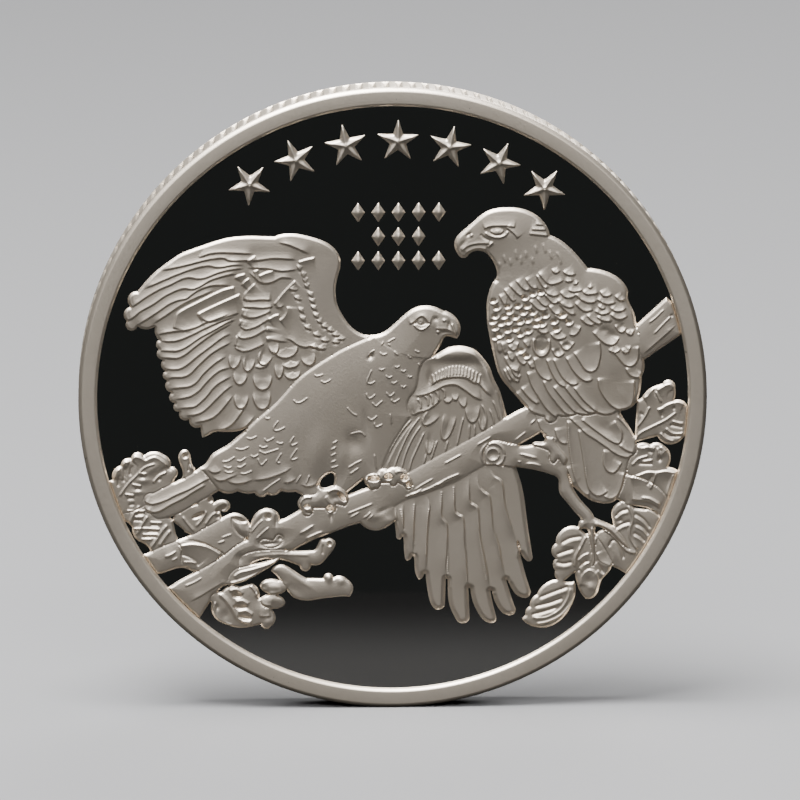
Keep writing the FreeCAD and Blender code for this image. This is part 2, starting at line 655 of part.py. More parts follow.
def laurel_leaf(x, z, degrees):
    """A pointed leaf that starts at x, z and runs at the angle degrees."""
    along = polar(WREATH_LEAF_LENGTH, degrees)
    side = polar(WREATH_LEAF_WIDTH / 2, degrees + 90)
    tip = (x + along[0], z + along[1])
    middle = (x + along[0] / 2, z + along[1] / 2)
    return (
        Outline(x, z)
        .tips(((middle[0] + side[0], middle[1] + side[1]), tip))
        .tips(((middle[0] - side[0], middle[1] - side[1]), (x, z)))
        .face()
    )


def laurel_spray(side):
    """Leaves in pairs up one side of the wreath, with a leaf at its end. side is 1 or -1."""
    leaves = []
    for k in range(WREATH_PAIRS):
        at = -90 + side * (WREATH_START_DEG + k * WREATH_STEP_DEG)
        x, z = polar(WREATH_RADIUS, at)
        along = at + side * 90
        leaves += [laurel_leaf(x, z, along + lean) for lean in (WREATH_LEAF_LEAN_DEG, -WREATH_LEAF_LEAN_DEG)]
    last = -90 + side * (WREATH_START_DEG + (WREATH_PAIRS - 0.4) * WREATH_STEP_DEG)
    leaves.append(laurel_leaf(*polar(WREATH_RADIUS, last), last + side * 96))
    return leaves


def laurel_stem(side):
    """Curved stem under one spray, from the tie to its last pair of leaves."""
    start = -90 + side * 3.0
    end = -90 + side * (WREATH_START_DEG + (WREATH_PAIRS - 0.4) * WREATH_STEP_DEG)
    outer = WREATH_RADIUS + STEM_WIDTH / 2
    inner = WREATH_RADIUS - STEM_WIDTH / 2
    return (
        Outline(*polar(outer, start))
        .tips((polar(outer, (start + end) / 2), polar(outer, end)))
        .line(polar(inner, end))
        .tips((polar(inner, (start + end) / 2), polar(inner, start)))
        .face()
    )


def ribbon_tie():
    """Knot at the bottom of the wreath, with two loops and two tails."""
    z = -WREATH_RADIUS
    loops = [ellipse(side * 1.25, z + 0.35, 1.05, 0.6, side * 22) for side in (1, -1)]
    tails = [
        Outline(side * 0.2, z - 0.1)
        .curve((side * 0.9, z - 0.9), (side * 1.6, z - 2.6))
        .line((side * 1.1, z - 2.35), (side * 0.85, z - 2.85))
        .curve((side * 0.45, z - 1.4), (side * 0.2, z - 0.1))
        .face()
        for side in (1, -1)
    ]
    return [ellipse(0, z, 0.55, 0.5)] + loops + tails


def beads():
    ring = DRAWN_FIELD_RADIUS - BEAD_GAP_TO_RIM
    return [disc(*polar(ring, k * 360 / BEAD_COUNT), BEAD_RADIUS) for k in range(BEAD_COUNT)]


def centre_star():
    return [star(0, 0, BADGE_RADIUS, BADGE_WAIST)]


REVERSE_PIECES = (
    ("reverse_ribbon_tie", ribbon_tie, ORNAMENT_HEIGHT),
    ("reverse_left_stem", lambda: [laurel_stem(-1)], STEM_HEIGHT),
    ("reverse_right_stem", lambda: [laurel_stem(1)], STEM_HEIGHT),
    ("reverse_left_spray", lambda: laurel_spray(-1), LEAF_HEIGHT),
    ("reverse_right_spray", lambda: laurel_spray(1), LEAF_HEIGHT),
    ("reverse_star", centre_star, BODY_HEIGHT),
    ("reverse_beads", beads, ORNAMENT_HEIGHT),
)


def fused(faces):
    """The faces as one flat region, so that leaves that cross become one outline."""
    whole = faces[0]
    for face in faces[1:]:
        whole = whole.fuse(face).removeSplitter()
    return whole


def layered(pieces):
    """{name: (visible faces, height)} with each piece cut back by those in front of it."""
    field = disc(0, 0, DRAWN_FIELD_RADIUS)
    in_front = []
    regions = {}
    for name, draw, height in pieces:
        whole = fused([part for face in draw() for part in face.common(field).Faces])
        blockers = [other for other in in_front if other.BoundBox.intersect(whole.BoundBox)]
        shown = whole.cut(blockers) if blockers else whole
        regions[name] = ([face for face in shown.Faces if face.Area > SMALLEST_REGION], height)
        in_front.append(whole)
    return regions


def raised(faces, height, side):
    """Solids of that height standing on the field of one side. The reverse is mirrored in x."""
    solids = []
    for face in faces:
        if side == REVERSE:
            face = face.mirror(FreeCAD.Vector(0, 0, 0), FreeCAD.Vector(1, 0, 0))
        solid = face.extrude(FreeCAD.Vector(0, side * height, 0))
        solid.translate(FreeCAD.Vector(0, side * FIELD_Y, RADIUS))
        solids.append(solid)
    return solids


def cylinder(radius, low_y, high_y):
    return Part.makeCylinder(radius, high_y - low_y, FreeCAD.Vector(0, low_y, RADIUS), FreeCAD.Vector(0, 1, 0))


def rim(side):
    """Raised ring round one face, with a wide outer bevel and a narrow inner one."""
    face_y = THICKNESS / 2
    profile = [
        (FIELD_RADIUS, FIELD_Y),
        (RADIUS, FIELD_Y),
        (RADIUS, face_y - RIM_BEVEL),
        (RADIUS - RIM_BEVEL, face_y),
        (FIELD_RADIUS + RIM_INNER_BEVEL, face_y),
        (FIELD_RADIUS, face_y - RIM_INNER_BEVEL),
    ]
    corners = [FreeCAD.Vector(r, side * y, RADIUS) for r, y in profile]
    wire = Part.makePolygon(corners + corners[:1])
    return Part.Face(wire).revolve(FreeCAD.Vector(0, 0, RADIUS), FreeCAD.Vector(0, 1, 0), 360)


def edge_point(radius, degrees):
    x, z = polar(radius, degrees)
    return FreeCAD.Vector(x, 0, z)


def reeded_edge():
    """Band round the planchet with grooves cut across it."""
    pitch = 360.0 / REED_COUNT
    land = pitch * REED_LAND
    edges = []
    for k in range(REED_COUNT):
        start = k * pitch - land / 2
        low, middle, high = (edge_point(RADIUS, start + land * share) for share in (0, 0.5, 1))
        groove = edge_point(RADIUS - REED_DEPTH, start + (land + pitch) / 2)
        after = edge_point(RADIUS, start + pitch)
        edges.append(Part.Arc(low, middle, high).toShape())
        edges.append(Part.LineSegment(high, groove).toShape())
        edges.append(Part.LineSegment(groove, after).toShape())
    band = Part.Face(Part.Wire(edges)).extrude(FreeCAD.Vector(0, 2 * FIELD_Y, 0))
    band.translate(FreeCAD.Vector(0, -FIELD_Y, RADIUS))
    return band.cut(cylinder(FIELD_RADIUS, -FIELD_Y, FIELD_Y))


def body_pieces():
    return {
        "planchet": [cylinder(FIELD_RADIUS, -PLANCHET_Y, PLANCHET_Y)],
        "obverse_field": [cylinder(FIELD_RADIUS, -FIELD_Y, -PLANCHET_Y)],
        "reverse_field": [cylinder(FIELD_RADIUS, PLANCHET_Y, FIELD_Y)],
        "reeded_edge": [reeded_edge()],
        "obverse_rim": [rim(OBVERSE)],
        "reverse_rim": [rim(REVERSE)],
    }


def main():
    nodes = body_pieces()
    for side, pieces in ((OBVERSE, OBVERSE_PIECES), (REVERSE, REVERSE_PIECES)):
        for name, (faces, height) in layered(pieces).items():
            nodes[name] = raised(faces, height, side)
    os.makedirs("parts", exist_ok=True)
    for name, solids in nodes.items():
        shape = solids[0] if len(solids) == 1 else Part.makeCompound(solids)
        if not solids or not shape.isValid() or any(s.Volume <= 0 for s in shape.Solids):
            raise RuntimeError(f"{name} isn't made of valid solids")
        shape.exportStep(f"parts/{name}.step")
        print(f"{name}: {len(shape.Solids)} solids, {shape.Volume:.2f} mm3")


main()
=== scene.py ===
import math

import bmesh
import bpy
import numpy as np
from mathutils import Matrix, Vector


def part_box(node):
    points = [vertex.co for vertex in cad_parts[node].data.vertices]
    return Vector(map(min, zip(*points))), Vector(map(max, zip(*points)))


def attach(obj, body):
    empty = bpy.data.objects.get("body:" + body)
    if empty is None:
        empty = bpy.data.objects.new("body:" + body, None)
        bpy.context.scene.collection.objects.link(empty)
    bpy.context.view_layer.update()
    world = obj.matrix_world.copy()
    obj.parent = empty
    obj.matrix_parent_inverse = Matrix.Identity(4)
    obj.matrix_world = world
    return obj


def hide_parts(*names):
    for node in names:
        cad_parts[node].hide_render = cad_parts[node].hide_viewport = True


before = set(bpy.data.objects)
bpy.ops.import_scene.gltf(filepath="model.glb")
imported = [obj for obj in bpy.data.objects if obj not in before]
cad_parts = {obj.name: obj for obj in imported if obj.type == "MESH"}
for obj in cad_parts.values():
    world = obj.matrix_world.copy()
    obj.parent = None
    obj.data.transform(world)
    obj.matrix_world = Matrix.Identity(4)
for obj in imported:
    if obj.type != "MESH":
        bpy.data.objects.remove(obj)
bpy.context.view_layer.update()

# Sizes in millimetres. The first ones are read from the frame; the rest repeat the design's own values.
MM = 0.001
lowest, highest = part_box("obverse_rim")
RADIUS = (highest.x - lowest.x) / 2 / MM
CENTRE_Z = (highest.z + lowest.z) / 2 / MM
FACE_Y = -lowest.y / MM
FIELD_Y = -highest.y / MM
field_low, field_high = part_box("obverse_field")
FIELD_RADIUS = (field_high.x - field_low.x) / 2 / MM
RIM_BEVEL = 0.22
RIM_INNER_BEVEL = 0.16
REED_COUNT = 150
REED_DEPTH = 0.13
POINTS_PER_REED = 14

# Grid of the relief's height map, with the coin's centre at 0, 0
CELL = 0.04
HALF = 19.0
COUNT = int(round(2 * HALF / CELL)) + 1
AXIS = np.linspace(-HALF, HALF, COUNT)
EDGE_SHARE = 0.62     # share of a detail's edge width that its slope takes up
DETAIL_STRENGTH = 1.1
DETAIL_MARGIN = 0.14  # details fade out over this distance from a piece's edge
RIDGE_HEIGHT_SHARE = 0.85
RIDGE_WIDTH_SHARE = 0.8
DIVE = 1.3            # slope at which a detail's surface runs on below the field
SUNK = 0.07           # depth of a detail's hidden underside below the field
LOWEST = 0.004        # least height of a detail above the field, before softening
HIGHEST = 0.345       # greatest height, just below the rim
SAME_LEVEL = 0.004    # levels closer than this have no edge between them
BROAD_EDGE = 0.25     # an edge wider than this slopes more evenly
BLUR = 0.6            # softening of the finished height map, in cells
SPREAD_CELLS = 3      # cells by which each detail's label is carried over the bare field
PROBE = 0.09          # distance from an outline at which the neighbour is looked up
POINT_GRID = 2000     # outline points are matched to 1 / 2000 mm
STEP_RISE = 0.09      # width over which a step rises
STEP_BACK = 0.12      # width of the hollow in front of a step
PIT_WALL = 0.28       # share of a pit's radius taken up by its wall


# ---------------------------------------------------------------- height map

def smooth(t):
    t = np.clip(t, 0, 1)
    return t * t * (3 - 2 * t)


def through(points, spacing=0.12):
    """A smooth curve through the points, as closely spaced points."""
    p = np.array(points, float)
    if len(p) == 2:
        n = max(2, int(np.hypot(*(p[1] - p[0])) / spacing) + 1)
        return p[0] + (p[1] - p[0]) * np.linspace(0, 1, n)[:, None]
    ends = np.vstack([2 * p[0] - p[1], p, 2 * p[-1] - p[-2]])
    out = [p[:1]]
    for i in range(len(p) - 1):
        a, b, c, d = ends[i:i + 4]
        n = max(2, int(np.hypot(*(c - b)) / spacing) + 1)
        t = np.linspace(0, 1, n + 1)[1:, None]
        out.append(0.5 * (2 * b + (c - a) * t + (2 * a - 5 * b + 4 * c - d) * t ** 2
                          + (3 * b - a - 3 * c + d) * t ** 3))
    return np.vstack(out)


def window(low, high, reach):
    """Index range of the grid that covers low to high plus reach."""
    first = np.clip(np.floor((np.array(low) - reach + HALF) / CELL).astype(int), 0, COUNT - 1)
    last = np.clip(np.ceil((np.array(high) + reach + HALF) / CELL).astype(int) + 1, 1, COUNT)
    return slice(first[1], last[1]), slice(first[0], last[0])


def near(line, reach):
    """Grid window round a line, with each point's distance, side (left is +) and place along."""
    rows, cols = window(line.min(0), line.max(0), reach)
    gx, gz = np.meshgrid(AXIS[cols], AXIS[rows])
    best = np.full(gx.shape, 1e9)
    side = np.zeros(gx.shape)
    along = np.zeros(gx.shape)
    steps = np.diff(line, axis=0)
    lengths = np.hypot(steps[:, 0], steps[:, 1])
    travelled = 0.0
    for (ax, az), (dx, dz), length in zip(line[:-1], steps, lengths):
        if length < 1e-9:
            continue
        px, pz = gx - ax, gz - az
        t = np.clip((px * dx + pz * dz) / length ** 2, 0, 1)
        ox, oz = px - t * dx, pz - t * dz
        d = ox * ox + oz * oz
        closer = d < best
        best = np.where(closer, d, best)
        side = np.where(closer, dx * pz - dz * px, side)
        along = np.where(closer, travelled + t * length, along)
        travelled += length
    return rows, cols, np.sqrt(best), np.sign(side), along, travelled


class Face:
    """Height map of one side of the coin."""

    def __init__(self, names, side):
        self.names = names
        self.side = side
        self.height = np.full((COUNT, COUNT), -SUNK)
        self.detail = np.zeros((COUNT, COUNT))
        self.detail_fade = np.zeros((COUNT, COUNT))
        self.at_points = np.full((COUNT, COUNT), -1)
        self.at_cells = np.full((COUNT - 1, COUNT - 1), -1)
        self.outlines = {}
        for index, name in enumerate(names):
            triangles = self.front_triangles(name)
            self.fill(triangles, self.at_points, index, 0.0)
            self.fill(triangles, self.at_cells, index, CELL / 2)
            self.outlines[name] = self.boundary(triangles)

    def front_triangles(self, name):
        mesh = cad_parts[name].data
        mesh.calc_loop_triangles()
        co = np.array([v.co for v in mesh.vertices]) / MM
        tri = np.array([t.vertices for t in mesh.loop_triangles])
        y = co[:, 1] * self.side
        front = (y[tri] > y.max() - 1e-3).all(1)
        flat = np.stack([co[:, 0] * (1 if self.side < 0 else -1), co[:, 2] - CENTRE_Z], 1)
        return flat[tri[front]]

    def fill(self, triangles, labels, index, offset):
        count = labels.shape[0]
        for tri in triangles:
            low = np.floor((tri.min(0) + HALF - offset) / CELL).astype(int)
            high = np.ceil((tri.max(0) + HALF - offset) / CELL).astype(int) + 1
            low, high = np.clip(low, 0, count), np.clip(high, 0, count)
            if (high <= low).any():
                continue
            gx = (np.arange(low[0], high[0]) * CELL - HALF + offset)[None, :]
            gz = (np.arange(low[1], high[1]) * CELL - HALF + offset)[:, None]
            inside_a = inside_b = True
            for (ax, az), (bx, bz) in zip(tri, np.roll(tri, -1, 0)):
                cross = (bx - ax) * (gz - az) - (bz - az) * (gx - ax)
                inside_a = inside_a & (cross >= -1e-9)
                inside_b = inside_b & (cross <= 1e-9)
            part = labels[low[1]:high[1], low[0]:high[0]]
            part[(inside_a | inside_b) & (part < 0)] = index

    @staticmethod
    def boundary(triangles):
        keys = np.round(triangles * POINT_GRID).astype(np.int64)
        points, inverse = np.unique(keys.reshape(-1, 2), axis=0, return_inverse=True)
        corner = inverse.reshape(-1, 3)
        edges = np.sort(corner[:, [0, 1, 1, 2, 2, 0]].reshape(-1, 2), axis=1)
        unique, count = np.unique(edges, axis=0, return_counts=True)
        once = unique[(count == 1) & (unique[:, 0] != unique[:, 1])]
        return points[once] / POINT_GRID

    def spread_labels(self, times):
        """Carry each detail's label a few cells out over the bare field."""
        for labels in (self.at_points, self.at_cells):
            for _ in range(times):
                new = labels.copy()
                for axis, shift in ((0, 1), (0, -1), (1, 1), (1, -1)):
                    other = np.roll(labels, shift, axis)
                    new = np.where((new < 0) & (other >= 0), other, new)
                labels[:] = new

    def label_at(self, x, z):
        i = np.clip(np.round((z + HALF) / CELL).astype(int), 0, COUNT - 1)
        j = np.clip(np.round((x + HALF) / CELL).astype(int), 0, COUNT - 1)
        return self.inner_points[i, j]

    def build_base(self, levels):
        """Give each detail its level, with edges that fall to what lies beyond them.

        levels: name -> (level, edge width, crown height, crown width)."""
        self.inner_points = self.at_points.copy()
        self.spread_labels(SPREAD_CELLS)
        level_of = np.array([levels[n][0] for n in self.names] + [0.0])
        for index, name in enumerate(self.names):
            level, edge, crown, crown_width = levels[name]
            edge *= EDGE_SHARE
            reach = max(edge, crown_width) + 0.2
            segments = self.outlines[name]
            a, b = segments[:, 0], segments[:, 1]
            middle = (a + b) / 2
            along = b - a
            length = np.maximum(np.hypot(along[:, 0], along[:, 1]), 1e-9)
            normal = np.stack([along[:, 1], -along[:, 0]], 1) / length[:, None] * PROBE
            one = self.label_at(*(middle + normal).T)
            two = self.label_at(*(middle - normal).T)
            beyond = np.where(one == index, two, one)
            beyond_level = level_of[beyond]
            kept = (beyond != index) & (beyond_level < level - SAME_LEVEL)
            rows, cols = window(segments.reshape(-1, 2).min(0), segments.reshape(-1, 2).max(0), 0.2)
            gx, gz = np.meshgrid(AXIS[cols], AXIS[rows])
            dist = np.full(gx.shape, reach)
            floor = np.full(gx.shape, 0.0)
            oz, ox = rows.start, cols.start
            for (ax, az), (bx, bz), low in zip(a[kept], b[kept], beyond_level[kept]):
                r, c = window((min(ax, bx), min(az, bz)), (max(ax, bx), max(az, bz)), reach)
                r = slice(max(r.start - oz, 0), max(r.stop - oz, 0))
                c = slice(max(c.start - ox, 0), max(c.stop - ox, 0))
                px, pz = gx[r, c] - ax, gz[r, c] - az
                dx, dz = bx - ax, bz - az
                t = np.clip((px * dx + pz * dz) / (dx * dx + dz * dz), 0, 1)
                d = np.hypot(px - t * dx, pz - t * dz)
                closer = d < dist[r, c]
                dist[r, c] = np.where(closer, d, dist[r, c])
                floor[r, c] = np.where(closer, low, floor[r, c])
            mine = self.at_points[rows, cols] == index
            inside = mine & (self.inner_points[rows, cols] == index)
            rise = 1 - (1 - np.clip(dist / edge, 0, 1)) ** (1.3 if edge > BROAD_EDGE else 2)
            top = floor + (level - floor) * rise
            top = top + crown * (1 - (1 - np.clip(dist / crown_width, 0, 1)) ** 2)
            part = self.height[rows, cols]
            part[inside] = top[inside]
            outside = mine & ~inside
            part[outside] = np.maximum(-DIVE * dist[outside], -SUNK)
            fade = self.detail_fade[rows, cols]
            fade[inside] = smooth(dist / DETAIL_MARGIN)[inside]

    def mask(self, names):
        if names is None:
            return self.inner_points >= 0
        wanted = [self.names.index(n) for n in ([names] if isinstance(names, str) else names)]
        return np.isin(self.inner_points, wanted)

    def on(self, names):
        """The details that follow are cut into these pieces only."""
        self.current = self.mask(names)

    def _add(self, rows, cols, value):
        self.detail[rows, cols] += value * self.current[rows, cols]

    def step(self, points, lift=0.06, width=0.32, fade=0.7, back=0.0):
        """An edge: the surface on the left of the line is raised, and sinks back over width."""
        line = through(points)
        rows, cols, d, side, along, total = near(line, 3.2 * width)
        s = d * side
        ends = np.clip(np.minimum(along, total - along) / max(min(fade, total / 2.2), 1e-6), 0, 1)
        up = smooth((s + STEP_RISE / 2) / STEP_RISE)
        value = lift * np.exp(-np.maximum(s, 0) / width) * up
        if back:
            value = value - back * np.exp(-(np.maximum(-s, 0) / STEP_BACK)) * (1 - up)
        self._add(rows, cols, value * smooth(ends))

    def steps(self, lines, lift=0.06, width=0.32, fade=0.7, back=0.0):
        for points in lines:
            self.step(points, lift, width, fade, back)

    def ridge(self, points, height=0.04, half=0.09, fade=0.2):
        line = through(points)
        height, half = RIDGE_HEIGHT_SHARE * height, RIDGE_WIDTH_SHARE * half
        rows, cols, d, _, along, total = near(line, 2.6 * half)
        ends = np.clip(np.minimum(along, total - along) / max(min(fade, total / 2.2), 1e-6), 0, 1)
        self._add(rows, cols, height * np.exp(-(d / half) ** 2) * smooth(ends))

    def ridges(self, lines, height=0.04, half=0.09, fade=0.2):
        for points in lines:
            self.ridge(points, height, half, fade)

    def beads(self, points, height=0.03, half=0.07, pitch=0.17):
        """A row of small notches along a line."""
        line = through(points)
        rows, cols, d, _, along, total = near(line, 2.6 * half)
        wave = 0.5 + 0.5 * np.cos(2 * math.pi * along / pitch)
        self._add(rows, cols, height * wave * np.exp(-(d / half) ** 2)
                  * smooth(np.minimum(along, total - along) / 0.2))

    def bump(self, x, z, rx, rz, height, turn=0.0):
        """A smooth swelling or hollow."""
        reach = 2.4 * max(rx, rz)
        rows, cols = window((x, z), (x, z), reach)
        gx, gz = np.meshgrid(AXIS[cols] - x, AXIS[rows] - z)
        c, s = math.cos(math.radians(turn)), math.sin(math.radians(turn))
        u, v = (gx * c + gz * s) / rx, (-gx * s + gz * c) / rz
        self._add(rows, cols, height * np.exp(-(u * u + v * v)))

    def bumps(self, places):
        for place in places:
            self.bump(*place)

    def pit(self, x, z, rx, rz, depth, turn=0.0):
        """A hollow that starts just under its upper edge and is deepest at its lower one."""
        rows, cols = window((x, z), (x, z), 1.1 * max(rx, rz))
        gx, gz = np.meshgrid(AXIS[cols] - x, AXIS[rows] - z)
        c, s = math.cos(math.radians(turn)), math.sin(math.radians(turn))
        u, v = (gx * c + gz * s) / rx, (-gx * s + gz * c) / rz
        wall = smooth((1 - np.hypot(u, v)) / PIT_WALL)
        self._add(rows, cols, -depth * wall * np.clip(0.55 - 0.45 * v, 0, 1))

    def pits(self, places):
        for place in places:
            self.pit(*place)

    def scale(self, x, z, rx, rz, turn=0.0, lift=0.05, width=0.22, sweep=190.0):
        """A rounded feather end: an open half ellipse, raised inside. turn 0 points down."""
        c, s = math.cos(math.radians(turn)), math.sin(math.radians(turn))
        line = []
        for k in range(9):
            at = math.radians(270 - sweep / 2 + sweep * k / 8)
            u, v = rx * math.cos(at), rz * math.sin(at)
            line.append((x + u * c - v * s, z + u * s + v * c))
        self.step(line, lift, width, 0.7)

    def finish(self):
        total = self.height + DETAIL_STRENGTH * self.detail * self.detail_fade * (self.inner_points >= 0)
        total = np.where(self.inner_points >= 0, np.clip(total, LOWEST, None), total)
        weights = np.exp(-0.5 * (np.arange(-2, 3) / BLUR) ** 2)
        weights /= weights.sum()
        for axis in (0, 1):
            total = sum(w * np.roll(total, k - 2, axis) for k, w in enumerate(weights))
        self.surface = np.minimum(total, HIGHEST)
        grad_z, grad_x = np.gradient(self.surface, CELL)
        self.normal = np.stack([-grad_x, -np.ones_like(grad_x), -grad_z], -1)
        self.normal /= np.linalg.norm(self.normal, axis=-1, keepdims=True)


def join_corners(mask):
    """Fill one cell wherever two cells of the mask meet only at a corner."""
    for _ in range(6):
        a, b = mask[:-1, :-1], mask[:-1, 1:]
        c, d = mask[1:, :-1], mask[1:, 1:]
        first = a & d & ~b & ~c
        second = b & c & ~a & ~d
        if not first.any() and not second.any():
            break
        mask[:-1, 1:] |= first
        mask[:-1, :-1] |= second
    return mask


def relief_piece(face, name):
    """Closed mesh of one detail: its modelled surface, walls, and a flat underside."""
    index = face.names.index(name)
    mask = join_corners(face.at_cells == index)
    padded = np.pad(mask, 1)
    used = padded[:-1, :-1] | padded[1:, :-1] | padded[:-1, 1:] | padded[1:, 1:]
    number = np.full((COUNT, COUNT), -1)
    number[used] = np.arange(used.sum())
    iz, ix = np.nonzero(used)
    flip = 1 if face.side < 0 else -1
    top = np.empty((len(iz), 3))
    top[:, 0] = AXIS[ix] * flip
    top[:, 1] = face.side * (FIELD_Y + face.surface[iz, ix])
    top[:, 2] = AXIS[iz] + CENTRE_Z
    cz, cx = np.nonzero(mask)
    a, b = number[cz, cx], number[cz, cx + 1]
    c, d = number[cz + 1, cx + 1], number[cz + 1, cx]
    quads = np.stack([a, b, c, d], 1)
    walls = []
    for near_cell, one, two in (
        (padded[:-2, 1:-1], (0, 0), (0, 1)), (padded[1:-1, 2:], (0, 1), (1, 1)),
        (padded[2:, 1:-1], (1, 1), (1, 0)), (padded[1:-1, :-2], (1, 0), (0, 0)),
    ):
        wz, wx = np.nonzero(mask & ~near_cell)
        walls.append(np.stack([number[wz + one[0], wx + one[1]], number[wz + two[0], wx + two[1]]], 1))
    walls = np.vstack(walls)
    ring = np.unique(walls)
    lower_of = np.full(len(top), -1)
    lower_of[ring] = len(top) + np.arange(len(ring))
    lower = top[ring].copy()
    lower[:, 1] = face.side * (FIELD_Y - SUNK - 0.01)
    sides = np.stack([walls[:, 1], walls[:, 0], lower_of[walls[:, 0]], lower_of[walls[:, 1]]], 1)
    faces = np.vstack([quads, sides])
    if flip < 0:
        faces = faces[:, ::-1]
    mesh = bpy.data.meshes.new("struck_" + name)
    points = np.vstack([top, lower]) * MM
    mesh.from_pydata(points.tolist(), [], faces.tolist())
    build = bmesh.new()
    build.from_mesh(mesh)
    build.verts.ensure_lookup_table()
    rim_edges = []
    first_lower = len(top)
    for edge in build.edges:
        if edge.is_boundary and edge.verts[0].index >= first_lower and edge.verts[1].index >= first_lower:
            rim_edges.append(edge)
    bmesh.ops.triangle_fill(build, use_beauty=False, use_dissolve=False, edges=rim_edges)
    bmesh.ops.recalc_face_normals(build, faces=build.faces[:])
    build.to_mesh(mesh)
    build.free()
    normals = np.zeros((len(points), 3))
    n = face.normal[iz, ix].copy()
    n[:, 0] *= flip
    n[:, 1] *= -face.side
    normals[:len(top)] = n
    normals[len(top):] = (0, -face.side, 0)
    mesh.polygons.foreach_set("use_smooth", np.ones(len(mesh.polygons), bool))
    mesh.normals_split_custom_set_from_vertices(normals.tolist())
    mesh.materials.append(frosted)
    piece = bpy.data.objects.new("struck_" + name, mesh)
    bpy.context.scene.collection.objects.link(piece)
    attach(piece, "root")
    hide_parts(name)


# ---------------------------------------------------------------- materials

def noise(material, scale, detail):
    """A noise texture that keeps its place on the piece."""
    nodes, links = material.node_tree.nodes, material.node_tree.links
    place = nodes.new("ShaderNodeTexCoord")
    texture = nodes.new("ShaderNodeTexNoise")
    texture.inputs["Scale"].default_value = scale
    texture.inputs["Detail"].default_value = detail
    links.new(place.outputs["Object"], texture.inputs["Vector"])
    return texture


def map_range(material, value, from_min, from_max, to_min, to_max):
    """A node that carries a value from one range over to another."""
    node = material.node_tree.nodes.new("ShaderNodeMapRange")
    node.inputs["From Min"].default_value = from_min
    node.inputs["From Max"].default_value = from_max
    node.inputs["To Min"].default_value = to_min
    node.inputs["To Max"].default_value = to_max
    material.node_tree.links.new(value, node.inputs["Value"])
    return node


def metal(name, colour, roughness, grain, grain_size, bump, tint, specks=0.0):
    """Silver-coloured metal with fine grain, uneven roughness and slight toning."""
    material = bpy.data.materials.new(name)
    material.use_nodes = True
    nodes, links = material.node_tree.nodes, material.node_tree.links
    shader = nodes["Principled BSDF"]
    shader.inputs["Metallic"].default_value = 1.0
    toning = noise(material, 220.0, 4.0)
    ramp = nodes.new("ShaderNodeValToRGB")
    ramp.color_ramp.elements[0].position = 0.3
    ramp.color_ramp.elements[1].position = 0.7
    ramp.color_ramp.elements[0].color = (*[c * t for c, t in zip(colour, tint)], 1)
    ramp.color_ramp.elements[1].color = (*colour, 1)
    links.new(toning.outputs["Fac"], ramp.inputs["Fac"])
    if specks:
        spots = noise(material, 3200.0, 1.0)
        darker = map_range(material, spots.outputs["Fac"], 0.76, 0.82, 1.0, 1.0 - specks)
        worn = nodes.new("ShaderNodeVectorMath")
        worn.operation = "SCALE"
        links.new(ramp.outputs["Color"], worn.inputs["Vector"])
        links.new(darker.outputs["Result"], worn.inputs["Scale"])
        links.new(worn.outputs["Vector"], shader.inputs["Base Color"])
    else:
        links.new(ramp.outputs["Color"], shader.inputs["Base Color"])
    fine = noise(material, grain_size, 3.0)
    rough = map_range(material, fine.outputs["Fac"], 0.25, 0.75, roughness - grain, roughness + grain)
    links.new(rough.outputs["Result"], shader.inputs["Roughness"])
    if bump:
        sand = noise(material, grain_size / 3, 5.0)
        sand.inputs["Roughness"].default_value = 0.7
        relief = nodes.new("ShaderNodeBump")
        relief.inputs["Strength"].default_value = bump
        relief.inputs["Distance"].default_value = 0.00002
        links.new(sand.outputs["Fac"], relief.inputs["Height"])
        links.new(relief.outputs["Normal"], shader.inputs["Normal"])
    return material


frosted = metal("frosted_silver", (0.85, 0.752, 0.635), 0.42, 0.06, 26000.0, 0.5, (0.95, 0.94, 0.92))
satin = metal("satin_silver", (0.85, 0.757, 0.64), 0.45, 0.05, 12000.0, 0.15, (0.95, 0.945, 0.93), 0.45)
mirror = metal("mirror_silver", (0.86, 0.85, 0.83), 0.055, 0.02, 1500.0, 0.0, (0.985, 0.98, 0.975))
inner = metal("planchet_metal", (0.72, 0.62, 0.4), 0.45, 0.08, 3000.0, 0.1, (0.9, 0.88, 0.85))


# ---------------------------------------------------------------- obverse

